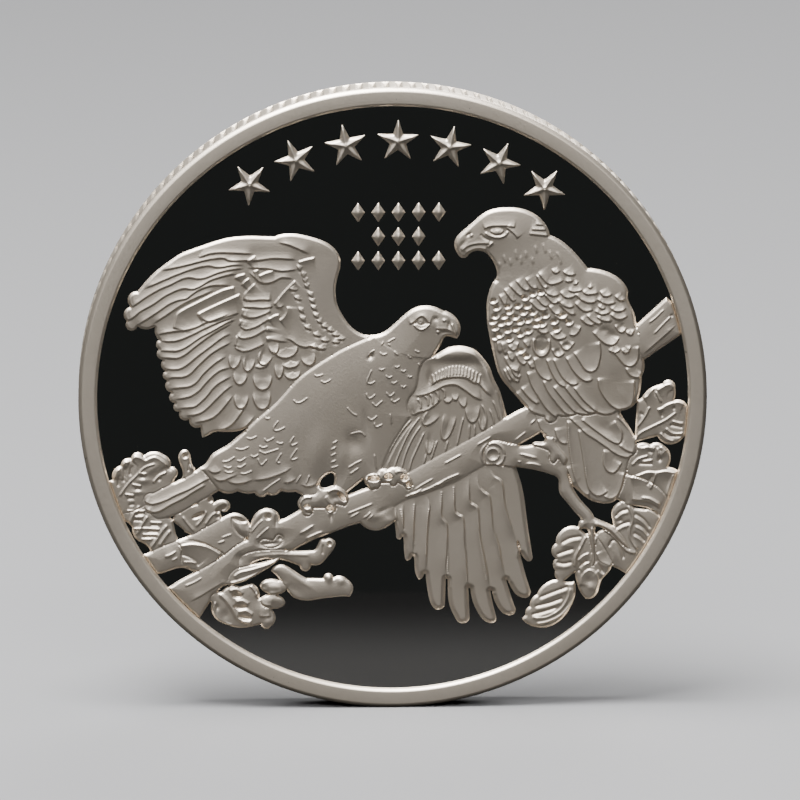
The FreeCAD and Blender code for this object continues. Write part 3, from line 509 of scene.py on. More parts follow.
LEVELS = {
    # name: (level above the field, width of the edge, crown height, crown width)
    "left_eagle_left_foot": (0.26, 0.26, 0.05, 0.55),
    "left_eagle_right_foot": (0.27, 0.22, 0.05, 0.5),
    "right_eagle_foot": (0.24, 0.22, 0.04, 0.5),
    "right_eagle_head": (0.18, 0.34, 0.08, 2.2),
    "right_eagle_body": (0.18, 0.34, 0.08, 2.2),
    "right_eagle_tail": (0.16, 0.3, 0.02, 1.0),
    "narrow_leaf": (0.17, 0.2, 0.02, 0.4),
    "side_branch": (0.17, 0.25, 0.06, 0.7),
    "acorns": (0.13, 0.22, 0.05, 0.5),
    "bottom_left_leaves": (0.12, 0.25, 0.04, 0.9),
    "budded_twig": (0.12, 0.22, 0.05, 0.5),
    "broken_twig": (0.12, 0.24, 0.06, 0.65),
    "main_branch": (0.18, 0.26, 0.06, 1.0),
    "folded_leaf": (0.15, 0.24, 0.03, 0.8),
    "cut_log": (0.12, 0.28, 0.07, 0.95),
    "left_eagle_lowered_wing": (0.17, 0.5, 0.0, 0.9),
    "left_eagle_head": (0.2, 0.32, 0.08, 2.4),
    "left_eagle_body": (0.2, 0.32, 0.08, 2.4),
    "left_eagle_tail": (0.14, 0.26, 0.03, 0.8),
    "left_eagle_raised_wing": (0.14, 0.28, 0.01, 1.2),
    "left_buds": (0.1, 0.22, 0.03, 0.5),
    "upper_left_leaf": (0.12, 0.25, 0.03, 0.9),
    "lower_left_leaves": (0.1, 0.24, 0.03, 0.7),
    "right_stub": (0.1, 0.24, 0.06, 0.8),
    "lower_right_leaves": (0.13, 0.25, 0.03, 0.8),
    "rim_side_leaves": (0.11, 0.25, 0.03, 0.8),
    "upper_right_leaves": (0.12, 0.25, 0.03, 0.8),
    "star_arc": (0.15, 0.2, 0.05, 0.6),
    "lozenge_rows": (0.12, 0.18, 0.04, 0.45),
}


def raised_wing(f):
    f.on('left_eagle_raised_wing')
    # Long flight feathers: the lower edge of each stands above the next one down
    f.steps([
        [(-14.75, 8.35), (-14, 8.5), (-13, 8.72), (-12, 8.98), (-11.3, 9.1), (-10.75, 9.13),
         (-10.3, 8.97), (-9.3, 8.97), (-8.6, 8.98), (-7.6, 9.1), (-6.6, 9.05), (-6.05, 8.98)],
        [(-12.35, 9.5), (-12.25, 9.22), (-11.7, 9.4), (-11.1, 9.48), (-10.2, 9.47), (-9.4, 9.42),
         (-8.75, 9.38)],
        [(-15.85, 7.17), (-15.2, 7.45), (-14.5, 7.75), (-13.8, 8.05), (-13, 8.35), (-12.3, 8.56),
         (-11.7, 8.65), (-11.3, 8.57), (-10.9, 8.55), (-10.3, 8.66), (-9.9, 8.69), (-9.4, 8.63)],
        [(-16.75, 6.25), (-16.5, 6.08), (-16.1, 6.35), (-15.5, 6.75), (-14.8, 7.15), (-14, 7.5),
         (-13.4, 7.8), (-12.9, 7.9), (-12.4, 7.82), (-11.9, 7.88), (-11.2, 8.15), (-10.5, 8.35),
         (-9.4, 8.48)],
        [(-17.0, 5.35), (-16.75, 5.2), (-16.4, 5.42), (-16, 5.75), (-15.2, 6.2), (-14.4, 6.75),
         (-13.6, 7.12), (-13.2, 7.2), (-12.7, 7.15), (-12.2, 7.35), (-11.6, 7.7), (-11, 7.9),
         (-10.3, 8.08), (-9.8, 8.1)],
        [(-16.3, 4.8), (-15.7, 5.2), (-15.0, 5.65), (-14.2, 6.2), (-13.6, 6.45), (-13.1, 6.55),
         (-12.7, 6.85), (-12.2, 7.15), (-11.6, 7.35), (-11, 7.4), (-10.2, 7.35)],
        [(-15.3, 4.9), (-14.6, 5.35), (-14, 5.75), (-13.4, 6.15), (-12.7, 6.5), (-12, 6.8), (-11.3, 7.1)],
    ], 0.075, 0.3)
    # Two broad flat feathers, bright along their upper edges
    f.steps([
        [(-10.05, 7.32), (-10.8, 7.12), (-11.6, 6.75), (-12.4, 6.35), (-13.2, 5.95), (-13.7, 5.6),
         (-13.85, 5.1), (-13.98, 4.65)],
        [(-9.7, 6.85), (-10.5, 6.5), (-11.5, 6.05), (-12.45, 5.58)],
    ], 0.075, 0.5, 0.12)
    f.steps([
        [(-12.45, 5.58), (-12.25, 5.35), (-11.9, 5.15), (-11.5, 5.08), (-11, 5.2), (-10.4, 5.42),
         (-9.8, 5.6)],
    ], 0.05, 0.4, 0.1)
    # Shorter flight feathers, S-curved
    f.steps([
        [(-15.05, 4.2), (-14.5, 4.35), (-13.9, 4.45), (-13.3, 4.5), (-12.5, 4.7), (-11.9, 5.0),
         (-11.2, 5.25), (-10.3, 5.6)],
        [(-14.85, 3.85), (-14.2, 3.8), (-13.6, 3.88), (-12.8, 4.2), (-12, 4.6), (-11, 5.05), (-10, 5.4)],
        [(-14.95, 3.2), (-14.3, 3.2), (-13.7, 3.2), (-13.1, 3.45), (-12.3, 4.0), (-11.4, 4.5),
         (-10.5, 5.0), (-9.9, 5.2)],
        [(-14.9, 2.75), (-14.3, 2.75), (-13.7, 2.73), (-13.2, 2.95), (-12.5, 3.5), (-11.7, 4.1),
         (-10.9, 4.6), (-10.2, 4.95)],
        [(-14.65, 2.05), (-14, 2.0), (-13.5, 2.05), (-13, 2.35), (-12.4, 2.85), (-11.6, 3.45),
         (-10.8, 4.05), (-10.2, 4.3)],
        [(-14.5, 1.3), (-14, 1.48), (-13.4, 1.5), (-12.9, 1.7), (-12.3, 2.3), (-11.6, 2.95), (-10.9, 3.4),
         (-10.2, 3.75)],
        [(-14.3, 0.72), (-13.6, 0.82), (-13, 0.88), (-12.5, 1.15), (-12, 1.75), (-11.4, 2.3),
         (-10.9, 2.65), (-10.5, 2.85)],
        [(-13.95, 0.06), (-13.3, 0.15), (-12.8, 0.3), (-12.3, 0.65), (-11.9, 1.1), (-11.4, 1.6),
         (-10.9, 1.95), (-10.2, 2.1)],
        [(-13.75, -0.52), (-13.1, -0.47), (-12.6, -0.4), (-12.2, -0.1), (-11.8, 0.3), (-11.4, 0.8),
         (-10.9, 1.2), (-10.2, 1.55)],
        [(-13.3, -0.98), (-12.7, -0.95), (-12.2, -0.8), (-11.8, -0.5), (-11.3, 0.0), (-10.9, 0.4),
         (-10.5, 0.75), (-10.1, 1.0)],
        [(-12.75, -1.47), (-12.1, -1.35), (-11.5, -1.15), (-11.1, -0.85), (-10.7, -0.4), (-10.4, 0.0),
         (-10.1, 0.35)],
        [(-11.4, -1.97), (-10.8, -1.87), (-10.3, -1.62), (-10, -1.3), (-9.75, -0.95), (-9.5, -0.6),
         (-9.3, -0.3)],
        [(-9.9, -1.98), (-9.4, -1.72), (-9.0, -1.3), (-8.75, -0.95)],
    ], 0.08, 0.26)
    # Column of overlapping coverts
    f.steps([
        [(-8.75, 7.55), (-9.2, 7.1), (-9.45, 6.8), (-9.5, 6.4)], [(-9.55, 5.95), (-9.65, 5.4)],
        [(-9.7, 5.25), (-9.8, 4.8)], [(-9.95, 4.2), (-10.1, 3.45)],
    ], 0.06, 0.3, 0.15)
    f.steps([
        [(-9.45, 6.45), (-9, 6.4), (-8.4, 6.45), (-7.7, 6.42)],
        [(-9.55, 5.98), (-8.8, 5.95), (-8.2, 5.92), (-7.6, 6.0)],
        [(-9.6, 5.45), (-9.2, 5.3), (-8.7, 5.32), (-8.2, 5.5), (-7.7, 5.72)],
        [(-9.75, 4.8), (-9.4, 4.55), (-9.0, 4.6), (-8.6, 4.75), (-8.2, 5.0), (-7.7, 5.28)],
        [(-9.95, 4.2), (-9.6, 3.98), (-9.2, 4.0), (-8.8, 4.12), (-8.3, 4.4), (-8.0, 4.6)],
        [(-10.1, 3.4), (-9.6, 3.15), (-9.1, 3.2), (-8.6, 3.4), (-8.15, 3.62)],
    ], 0.075, 0.26, 0.2)
    # Rounded coverts
    for x, z, rx, rz, turn in (
        (-10.05, 2.7, 0.36, 0.66, -12), (-9.15, 2.5, 0.36, 0.66, -12), (-8.1, 2.85, 0.42, 0.62, -28),
        (-9.7, 1.6, 0.42, 0.6, -8), (-8.3, 1.4, 0.58, 0.75, 0), (-9.65, 0.15, 0.44, 0.7, -6),
        (-8.35, 0.25, 0.55, 0.85, 4), (-7.25, 2.1, 0.28, 0.7, 0), (-6.5, 2.4, 0.55, 0.34, 8),
        (-6.4, 1.75, 0.5, 0.42, 6), (-6.8, 3.3, 0.75, 0.6, 12), (-7.6, 3.5, 0.32, 0.5, 14),
        (-5.4, 2.75, 0.44, 0.55, 20), (-8.35, 2.3, 0.45, 0.22, 10),
    ):
        f.scale(x, z, rx, rz, turn, 0.09, 0.26, 235)
    f.bump(-8.3, 2.85, 0.16, 0.4, -0.04, -20)
    f.bump(-9.3, 2.4, 0.14, 0.35, -0.035, -10)
    # Upper coverts
    f.steps([
        [(-9.3, 8.5), (-8.6, 8.48), (-8, 8.45), (-7.5, 8.35), (-7, 8.28), (-6.4, 8.33), (-5.95, 8.38)],
        [(-9.25, 8.3), (-8.8, 7.9), (-8.5, 7.62), (-8.1, 7.5), (-7.6, 7.6), (-7.1, 7.85), (-6.6, 7.82),
         (-6.25, 7.75)],
        [(-7.4, 10.15), (-6.6, 9.95), (-5.9, 9.65), (-5.2, 9.3)],
        [(-7.55, 5.98), (-7.2, 5.93), (-6.85, 6.1)],
        [(-8.0, 3.98), (-7.6, 3.85), (-7.0, 3.75), (-6.6, 3.72)],
        [(-6.95, 4.0), (-6.5, 3.85), (-6.1, 3.55), (-5.6, 3.38), (-5.2, 3.45), (-4.8, 3.28),
         (-4.3, 3.05)],
    ], 0.07, 0.3)
    f.steps([
        [(-4.95, 9.17), (-5.5, 9.05), (-6.05, 8.88)], [(-7.55, 8.37), (-8.1, 8.2), (-8.55, 8.0)],
        [(-8.5, 8.42), (-8.9, 8.28)], [(-8.7, 9.3), (-9.0, 9.15), (-9.3, 8.88)],
        [(-9.35, 8.15), (-9.9, 8.0), (-10.05, 7.8)], [(-9.1, 7.88), (-9.4, 7.68), (-9.65, 7.4)],
        [(-6.2, 7.72), (-6.5, 7.42), (-6.9, 7.0), (-7.2, 6.65), (-7.6, 6.15)],
        [(-6.72, 6.05), (-6.78, 5.65), (-7.0, 5.32), (-7.25, 5.12)],
        [(-7.2, 5.52), (-7.55, 5.45), (-7.95, 5.2)], [(-8.0, 4.75), (-8.05, 4.4)],
        [(-8.05, 4.1), (-8.0, 3.75)],
    ], 0.07, 0.3, 0.12)
    # Small coverts in two scalloped rows down the wing
    for x, z, turn in (
        (-5.85, 8.55, -60), (-5.6, 8.12, -65), (-5.5, 7.78, -65), (-5.4, 7.42, -60), (-5.15, 6.85, -50),
        (-5.05, 6.45, -50), (-4.95, 6.0, -45), (-4.8, 5.5, -45), (-4.6, 5.15, -40), (-4.3, 4.85, -20),
        (-3.95, 4.6, -20), (-3.6, 4.3, -10), (-3.3, 4.05, 0), (-6.3, 7.25, -10), (-6.0, 6.65, -30),
        (-5.75, 5.85, -50), (-5.65, 5.3, -50), (-5.35, 4.75, -30), (-4.8, 4.3, -20), (-4.3, 3.95, -10),
        (-3.6, 3.85, 0), (-4.5, 3.45, -10), (-5.0, 3.55, -10),
    ):
        f.scale(x, z, 0.31, 0.2, turn, 0.075, 0.18, 180)
        f.bump(x - 0.05, z - 0.26, 0.16, 0.08, -0.025, turn)
    f.bump(-8.3, 9.9, 4.6, 0.5, 0.02)
    f.bump(-4.4, 8.2, 0.9, 2.4, 0.03)


def lowered_wing(f):
    f.on('left_eagle_lowered_wing')
    f.bumps([
        (4.2, 2.9, 2.4, 0.45, 0.07, 4), (5.9, 1.6, 0.4, 1.3, 0.06, 14), (4.4, 2.25, 1.5, 0.4, -0.05, -4),
        (5.65, 1.25, 0.3, 0.9, -0.07, 12), (2.35, 1.35, 0.2, 0.5, -0.06),
    ])
    # Arc of small ribbed coverts near the wing's edge
    for k in range(15):
        t = k / 14
        x = 2.55 + 2.95 * t
        z = 1.25 + 0.62 * math.sin(math.pi * t * 0.95) - 0.1 * t
        f.ridge([
            (x - 0.06 * (1 - 2 * t), z + 0.38), (x + 0.06 * (1 - 2 * t), z - 0.3),
        ], 0.045, 0.07, 0.12)
    f.steps([
        [(2.2, 0.85), (2.45, 0.88), (2.7, 1.1), (3.2, 1.3), (3.9, 1.4), (4.6, 1.35), (5.1, 1.05),
         (5.45, 0.95), (5.9, 0.45), (6.35, 0.08)],
        [(1.25, 0.3), (1.6, 0.2), (2.1, 0.3), (2.7, 0.55), (3.3, 0.85), (3.95, 0.9), (4.5, 0.6),
         (5.1, 0.15), (5.6, -0.08), (5.8, 0.05)],
    ], 0.08, 0.3)
    # Second arc of ribbed coverts
    f.step([
        (1.0, -0.9), (1.35, -1.02), (1.65, -0.85), (2.1, -0.75), (2.6, -0.45), (3.0, -0.1), (3.2, 0.05),
    ], 0.075, 0.3)
    f.bump(1.3, -0.35, 0.3, 0.45, 0.035, -10)
    for x, z, turn in ((1.68, -0.3, 8), (2.15, -0.12, 6), (2.45, 0.0, 4), (2.8, 0.18, 2), (3.2, 0.38, 6)):
        f.ridge([(x - 0.15, z + 0.35), (x + 0.05, z + 0.1), (x + 0.08, z - 0.35)], 0.05, 0.07, 0.1)
    for x, z, rx, rz, turn in (
        (3.5, 0.15, 0.3, 0.4, -8), (3.95, 0.3, 0.22, 0.4, 0), (4.4, 0.0, 0.24, 0.55, 14),
        (2.55, -0.95, 0.42, 0.95, -42), (3.55, -1.35, 0.42, 1.35, -14), (5.05, -0.6, 0.46, 0.95, 0),
        (5.65, -1.2, 0.24, 0.85, 4), (2.35, -2.8, 0.26, 0.75, -6),
    ):
        f.scale(x, z, rx, rz, turn, 0.065, 0.28, 215)
    f.bumps([
        (2.3, -2.8, 0.14, 0.5, -0.03, -4), (3.5, -1.9, 0.14, 0.6, -0.02, -10),
        (5.65, -1.4, 0.12, 0.4, -0.03),
    ])
    # Fine shafts above the branch
    f.ridges([
        [(1.2, -1.28), (0.5, -2.1), (-0.05, -3.0), (-0.5, -3.9), (-0.8, -4.6)],
        [(1.75, -1.1), (1.1, -2.0), (0.6, -3.0), (0.2, -4.0), (0.05, -4.6)],
        [(1.8, -1.65), (1.25, -2.5), (0.8, -3.5), (0.5, -4.6)],
        [(2.0, -2.1), (1.6, -3.0), (1.2, -3.9), (1.0, -4.7)], [(2.1, -3.5), (1.95, -4.3)],
        [(2.85, -2.6), (2.6, -3.3), (2.4, -4.0)], [(3.5, -2.6), (3.3, -3.5)],
        [(4.5, -1.1), (4.3, -1.9), (4.05, -3.1)], [(4.85, -1.6), (4.85, -2.7)],
        [(5.2, -1.6), (5.2, -2.5)], [(5.6, -0.3), (5.85, -0.8), (5.95, -1.4), (5.85, -2.1)],
        [(6.1, -0.6), (6.35, -1.2), (6.45, -1.75)], [(6.3, -0.05), (6.55, -0.6), (6.8, -1.45)],
        [(6.5, 0.6), (6.85, 0.0), (7.1, -1.1)],
    ], 0.05, 0.055, 0.3)
    f.steps([[(1.4, -1.3), (0.75, -2.15), (0.2, -3.0), (-0.25, -3.9), (-0.5, -4.6)]], 0.03, 0.3)
    # Nine flight feathers below the branch: shaft lines, notched vanes and gaps between them
    f.steps([
        [(0.45, -8.75), (0.3, -8.0), (0.15, -6.9)], [(0.64, -8.9), (0.66, -8.0), (0.65, -6.7)],
        [(1.27, -10.2), (1.3, -9.0), (1.35, -7.5), (1.45, -6.4)],
        [(2.05, -11.4), (2.12, -10.2), (2.15, -9.0), (2.25, -7.6), (2.35, -6.85), (2.05, -6.15)],
        [(3.39, -11.7), (3.38, -10.8), (3.45, -9.4), (3.45, -8.15), (3.12, -7.6), (3.1, -6.8),
         (3.1, -5.7)],
        [(4.82, -12.4), (4.68, -10.8), (4.55, -9.2), (4.5, -7.75), (4.15, -7.45), (3.95, -7.1),
         (3.9, -5.4)],
        [(6.24, -12.6), (5.98, -11.0), (5.75, -9.9), (5.5, -8.6), (5.45, -7.2), (5.2, -6.85),
         (4.9, -6.55), (4.85, -5.0)],
        [(7.24, -11.9), (6.95, -10.6), (6.75, -9.5), (6.4, -8.4), (6.3, -7.3), (6.15, -6.3), (5.8, -6.0),
         (5.5, -5.6), (5.35, -4.7)],
        [(7.93, -9.4), (7.8, -8.9), (7.5, -8.1), (7.15, -6.9), (7.0, -5.6), (6.8, -5.2), (6.4, -4.95),
         (6.15, -4.35)],
    ], 0.085, 0.3, 1.6, 0.02)
    f.ridges([
        [(2.32, -7.2), (2.2, -8.6), (2.12, -10.2), (2.12, -11.0)],
        [(3.45, -8.6), (3.5, -10.0), (3.5, -11.2)], [(4.55, -8.2), (4.62, -9.5), (4.68, -10.8)],
        [(5.5, -7.4), (5.5, -8.6), (5.75, -9.9), (5.9, -11.4)],
        [(6.35, -7.6), (6.6, -9.0), (6.85, -10.4)], [(8.3, -6.6), (8.55, -8.2), (8.75, -9.8)],
        [(7.85, -9.9), (8.2, -11.2), (8.6, -12.4)], [(7.1, -11.6), (7.35, -12.5), (7.66, -13.5)],
        [(6.1, -12.2), (6.27, -13.2), (6.47, -14.0)], [(4.68, -12.2), (4.72, -13.2), (4.75, -14.0)],
    ], 0.03, 0.05, 0.3)
    for line in (
        [(0.45, -7.0), (0.6, -8.0), (0.75, -8.7)], [(0.72, -8.8), (0.95, -9.9)],
        [(1.35, -6.7), (1.3, -8.2), (1.35, -9.6)], [(1.35, -9.8), (1.5, -10.9)],
        [(2.3, -7.0), (2.15, -8.6), (2.1, -10.2)], [(3.45, -9.8), (3.5, -11.2), (3.7, -12.4)],
        [(4.62, -9.6), (4.7, -10.8), (4.7, -12.0)],
        [(5.5, -8.0), (5.55, -9.2), (5.8, -11.0), (5.95, -11.9)], [(6.75, -9.4), (6.9, -10.4)],
        [(8.35, -7.0), (8.55, -8.6), (8.65, -9.4)], [(3.1, -5.9), (3.1, -7.2)],
        [(3.85, -5.6), (3.9, -6.8)],
    ):
        f.beads(line, 0.035, 0.06, 0.15)


def left_body(f):
    f.on(['left_eagle_body', 'left_eagle_head'])
    f.bumps([
        (-4.2, -0.6, 3.6, 2.0, 0.035, 38), (-0.4, 2.2, 1.6, 1.8, 0.03),
        (-2.5, -2.75, 0.6, 0.7, -0.07, 20), (-1.42, 2.8, 0.14, 0.2, -0.09, -40),
        (-1.7, -1.6, 0.25, 1.0, -0.04, 8), (-4.9, -3.6, 0.7, 1.6, 0.05, -12),
        (-3.3, -3.9, 0.35, 1.0, 0.03, -10),
    ])
    # Small rounded feathers, as short bright curls
    f.ridges([
        [(-5.0, 1.68), (-4.9, 1.55), (-4.7, 1.57), (-4.42, 1.66)],
        [(-4.62, 1.27), (-4.4, 1.13), (-4.2, 1.18), (-3.92, 1.34)],
        [(-6.35, 0.05), (-6.15, -0.15), (-5.85, -0.12), (-5.42, 0.17)],
        [(-8.15, -1.08), (-8.0, -1.2), (-7.8, -1.12)],
        [(-7.28, -1.3), (-7.6, -1.75), (-7.5, -1.95), (-7.2, -1.9), (-6.85, -1.72)],
        [(-9.35, -2.38), (-9.1, -2.48), (-8.85, -2.4), (-8.65, -2.3)],
        [(-8.22, -2.42), (-8.05, -2.62), (-7.8, -2.55), (-7.55, -2.38)],
        [(-7.45, -2.68), (-7.2, -2.79), (-6.95, -2.72)], [(-8.55, -2.9), (-8.3, -3.05), (-7.95, -2.95)],
        [(-6.28, -2.3), (-6.55, -2.75), (-6.4, -2.9), (-6.05, -2.75)],
        [(-10.05, -3.1), (-9.6, -3.16), (-9.15, -2.98)],
        [(-8.55, -3.22), (-8.2, -3.4), (-7.8, -3.3), (-7.25, -3.12)],
        [(-9.1, -3.52), (-8.85, -3.65), (-8.55, -3.47)],
        [(-8.62, -3.72), (-8.5, -4.03), (-8.35, -4.15), (-8.15, -3.95), (-8.0, -3.78)],
        [(-7.08, -3.38), (-7.35, -3.8), (-7.4, -4.0), (-7.15, -4.05)],
        [(-6.08, -3.08), (-6.5, -3.7), (-6.4, -3.85), (-6.05, -3.72)],
        [(-10.9, -3.95), (-10.5, -3.9), (-10.05, -3.62)], [(-9.95, -3.85), (-9.7, -3.9), (-9.35, -3.67)],
        [(-10.8, -4.22), (-10.5, -4.35), (-10.25, -4.25)], [(-9.95, -4.25), (-9.7, -4.3), (-9.35, -4.07)],
        [(-10.75, -4.52), (-10.5, -4.65), (-10.15, -4.58)],
        [(-9.75, -4.7), (-9.4, -4.72), (-8.95, -4.52)], [(-0.88, 3.08), (-0.65, 2.92), (-0.35, 2.98)],
        [(0.1, 3.15), (0.15, 3.0), (0.35, 2.87)], [(-0.92, 2.03), (-0.75, 1.93), (-0.5, 2.02)],
        [(0.08, 2.18), (0.25, 2.08), (0.45, 2.2)], [(0.48, 1.93), (0.65, 1.8), (0.83, 1.92)],
        [(0.93, 2.9), (1.02, 2.74), (1.22, 2.68)], [(1.38, 3.22), (1.5, 3.08), (1.72, 3.06)],
        [(1.58, 2.35), (1.75, 2.15), (1.98, 2.27)], [(-0.48, 1.6), (-0.3, 1.43), (0.0, 1.53)],
        [(-0.12, 1.15), (0.05, 1.05), (0.28, 1.2)], [(0.93, 1.58), (1.05, 1.43), (1.25, 1.52)],
        [(0.48, 0.93), (0.65, 0.78), (0.85, 0.92)],
        [(-1.35, 1.95), (-1.6, 1.4), (-1.65, 1.12), (-1.4, 1.05), (-1.12, 1.22)],
        [(-1.72, 0.45), (-1.6, 0.15), (-1.4, 0.12), (-1.12, 0.37)],
        [(-0.45, 0.5), (-0.25, 0.25), (-0.1, 0.27), (0.1, 0.48)],
        [(-1.35, -0.15), (-1.1, -0.4), (-0.9, -0.25), (-0.65, -0.05)],
        [(-0.12, 0.05), (0.0, -0.15), (0.2, -0.1), (0.45, 0.08)],
        [(-1.65, -1.1), (-1.4, -1.3), (-1.2, -1.2), (-1.0, -1.02)],
        [(-1.22, -1.45), (-1.1, -1.75), (-0.9, -1.7), (-0.65, -1.57)],
        [(-2.95, -0.45), (-2.6, -0.85), (-2.25, -1.02)], [(-2.75, -2.22), (-2.1, -2.08), (-1.75, -2.38)],
        [(-1.62, 2.78), (-1.42, 3.05), (-1.15, 3.22)], [(-0.38, 3.68), (-0.1, 3.85), (0.15, 3.97)],
        [(-0.75, 3.5), (-0.6, 3.78)], [(-0.35, 3.62), (-0.15, 3.45)], [(-0.2, -0.9), (-0.1, -1.6)],
    ], 0.042, 0.045, 0.1)
    f.ridges([
        [(-5.85, -4.8), (-6.2, -5.4)], [(-5.32, -4.8), (-5.55, -5.45)],
        [(-7.15, -5.05), (-7.8, -5.5), (-8.35, -5.92)], [(-4.0, -3.65), (-3.6, -3.42)],
        [(-4.0, -4.07), (-3.6, -3.88)], [(-4.0, -4.42), (-3.45, -4.25)],
        [(-2.9, -4.42), (-2.4, -4.1), (-1.95, -3.88)], [(-2.8, -4.82), (-2.15, -4.38)],
        [(-1.2, -3.5), (-1.05, -4.55)], [(-3.65, -4.9), (-3.9, -5.45)], [(-3.9, -2.85), (-3.5, -2.6)],
        [(-4.0, -3.25), (-3.6, -3.0)],
    ], 0.045, 0.05, 0.15)
    f.steps([
        [(-11.85, -4.4), (-11.5, -4.66), (-11.1, -4.62), (-10.85, -4.42)],
        [(-11.6, -4.85), (-11.2, -5.15), (-10.8, -5.17), (-10.3, -4.95), (-9.8, -4.8)],
        [(-10.7, -5.15), (-10.1, -5.38), (-9.5, -5.33), (-8.8, -5.1)],
        [(-9.0, -5.2), (-8.2, -5.1), (-7.5, -4.9), (-6.8, -4.6), (-6.4, -4.3)],
        [(-7.1, -5.35), (-6.6, -5.32), (-6.1, -5.05)],
        [(-6.0, -5.4), (-5.5, -5.6), (-5.0, -5.5), (-4.7, -5.2)],
    ], 0.07, 0.26)
    f.on('left_eagle_head')
    f.bumps([
        (2.1, 5.1, 0.9, 0.6, 0.02), (1.8, 4.95, 0.4, 0.24, -0.06, -4), (1.76, 4.98, 0.17, 0.16, 0.075),
        (1.74, 5.0, 0.06, 0.06, -0.04),
    ])
    f.step([
        (1.0, 4.82), (1.35, 5.0), (1.6, 5.25), (1.85, 5.35), (2.05, 5.2), (2.25, 4.95), (2.45, 4.88),
    ], 0.07, 0.2, 0.2)
    f.ridges([
        [(1.3, 4.85), (1.55, 4.6), (1.8, 4.52), (2.05, 4.62), (2.35, 4.88)], [(2.75, 4.42), (2.97, 4.25)],
        [(3.72, 4.9), (3.85, 4.5), (3.95, 4.2)],
    ], 0.07, 0.07, 0.12)
    f.ridge([(1.42, 4.86), (1.6, 4.75), (1.8, 4.7), (2.0, 4.75), (2.15, 4.86)], 0.04, 0.05, 0.1)
    f.step([(2.65, 4.56), (3.0, 4.5), (3.3, 4.5), (3.6, 4.4), (3.85, 4.22), (4.0, 4.08)], 0.06, 0.2, 0.2)
    f.bumps([
        (3.55, 4.8, 0.1, 0.25, -0.05), (3.25, 5.08, 0.1, 0.08, 0.05), (2.7, 5.18, 0.16, 0.14, -0.04),
        (3.35, 4.3, 0.3, 0.12, -0.03),
    ])


def left_tail_and_feet(f):
    f.on('left_eagle_tail')
    f.steps([
        [(-15.9, -6.45), (-15.5, -6.68), (-15.1, -6.65), (-14.5, -6.45), (-13.8, -6.1), (-13.0, -5.75),
         (-12.2, -5.3), (-11.6, -5.0)],
        [(-15.8, -6.95), (-15.4, -7.2), (-14.9, -7.15), (-14.2, -6.75), (-13.4, -6.35), (-12.6, -5.85),
         (-11.9, -5.45)],
    ], 0.08, 0.26, 0.3)
    f.on('left_eagle_left_foot')
    f.ridges([
        [(-5.95, -6.75), (-5.85, -6.42), (-5.55, -6.25), (-5.15, -6.28)],
        [(-4.3, -6.2), (-4.1, -6.5), (-3.85, -6.75), (-3.7, -7.15)],
        [(-4.2, -6.0), (-3.85, -5.78), (-3.4, -5.82), (-3.1, -6.05), (-2.92, -6.45)],
        [(-5.6, -7.1), (-5.3, -7.05), (-5.05, -7.3)],
    ], 0.07, 0.12, 0.12)
    f.pits([
        (-4.02, -6.98, 0.22, 0.24, 0.28), (-3.27, -6.24, 0.4, 0.16, 0.3, -48),
        (-5.5, -6.85, 0.2, 0.13, 0.16),
    ])
    f.bumps([
        (-5.35, -7.3, 0.2, 0.07, -0.07, -15), (-4.6, -6.35, 0.25, 0.4, 0.03),
        (-3.7, -6.3, 0.25, 0.2, -0.05),
    ])
    f.on('left_eagle_right_foot')
    f.ridges([
        [(-1.75, -5.3), (-1.62, -4.95), (-1.2, -4.76), (-0.9, -4.85), (-0.78, -5.2)],
        [(-0.62, -5.0), (-0.5, -4.75), (-0.3, -4.63), (-0.1, -4.75), (-0.02, -5.0)],
        [(0.1, -4.75), (0.4, -4.6), (0.8, -4.66), (1.05, -4.9), (1.15, -5.3), (1.15, -5.65)],
        [(0.72, -5.45), (0.85, -5.2), (1.05, -5.22)],
    ], 0.06, 0.1, 0.1)
    f.pits([
        (-1.27, -5.08, 0.42, 0.2, 0.3, -6), (-0.3, -4.95, 0.25, 0.22, 0.3),
        (0.72, -5.02, 0.26, 0.22, 0.28, -25), (0.98, -5.47, 0.13, 0.2, 0.24),
        (-1.2, -5.8, 0.17, 0.13, 0.2, 30),
    ])


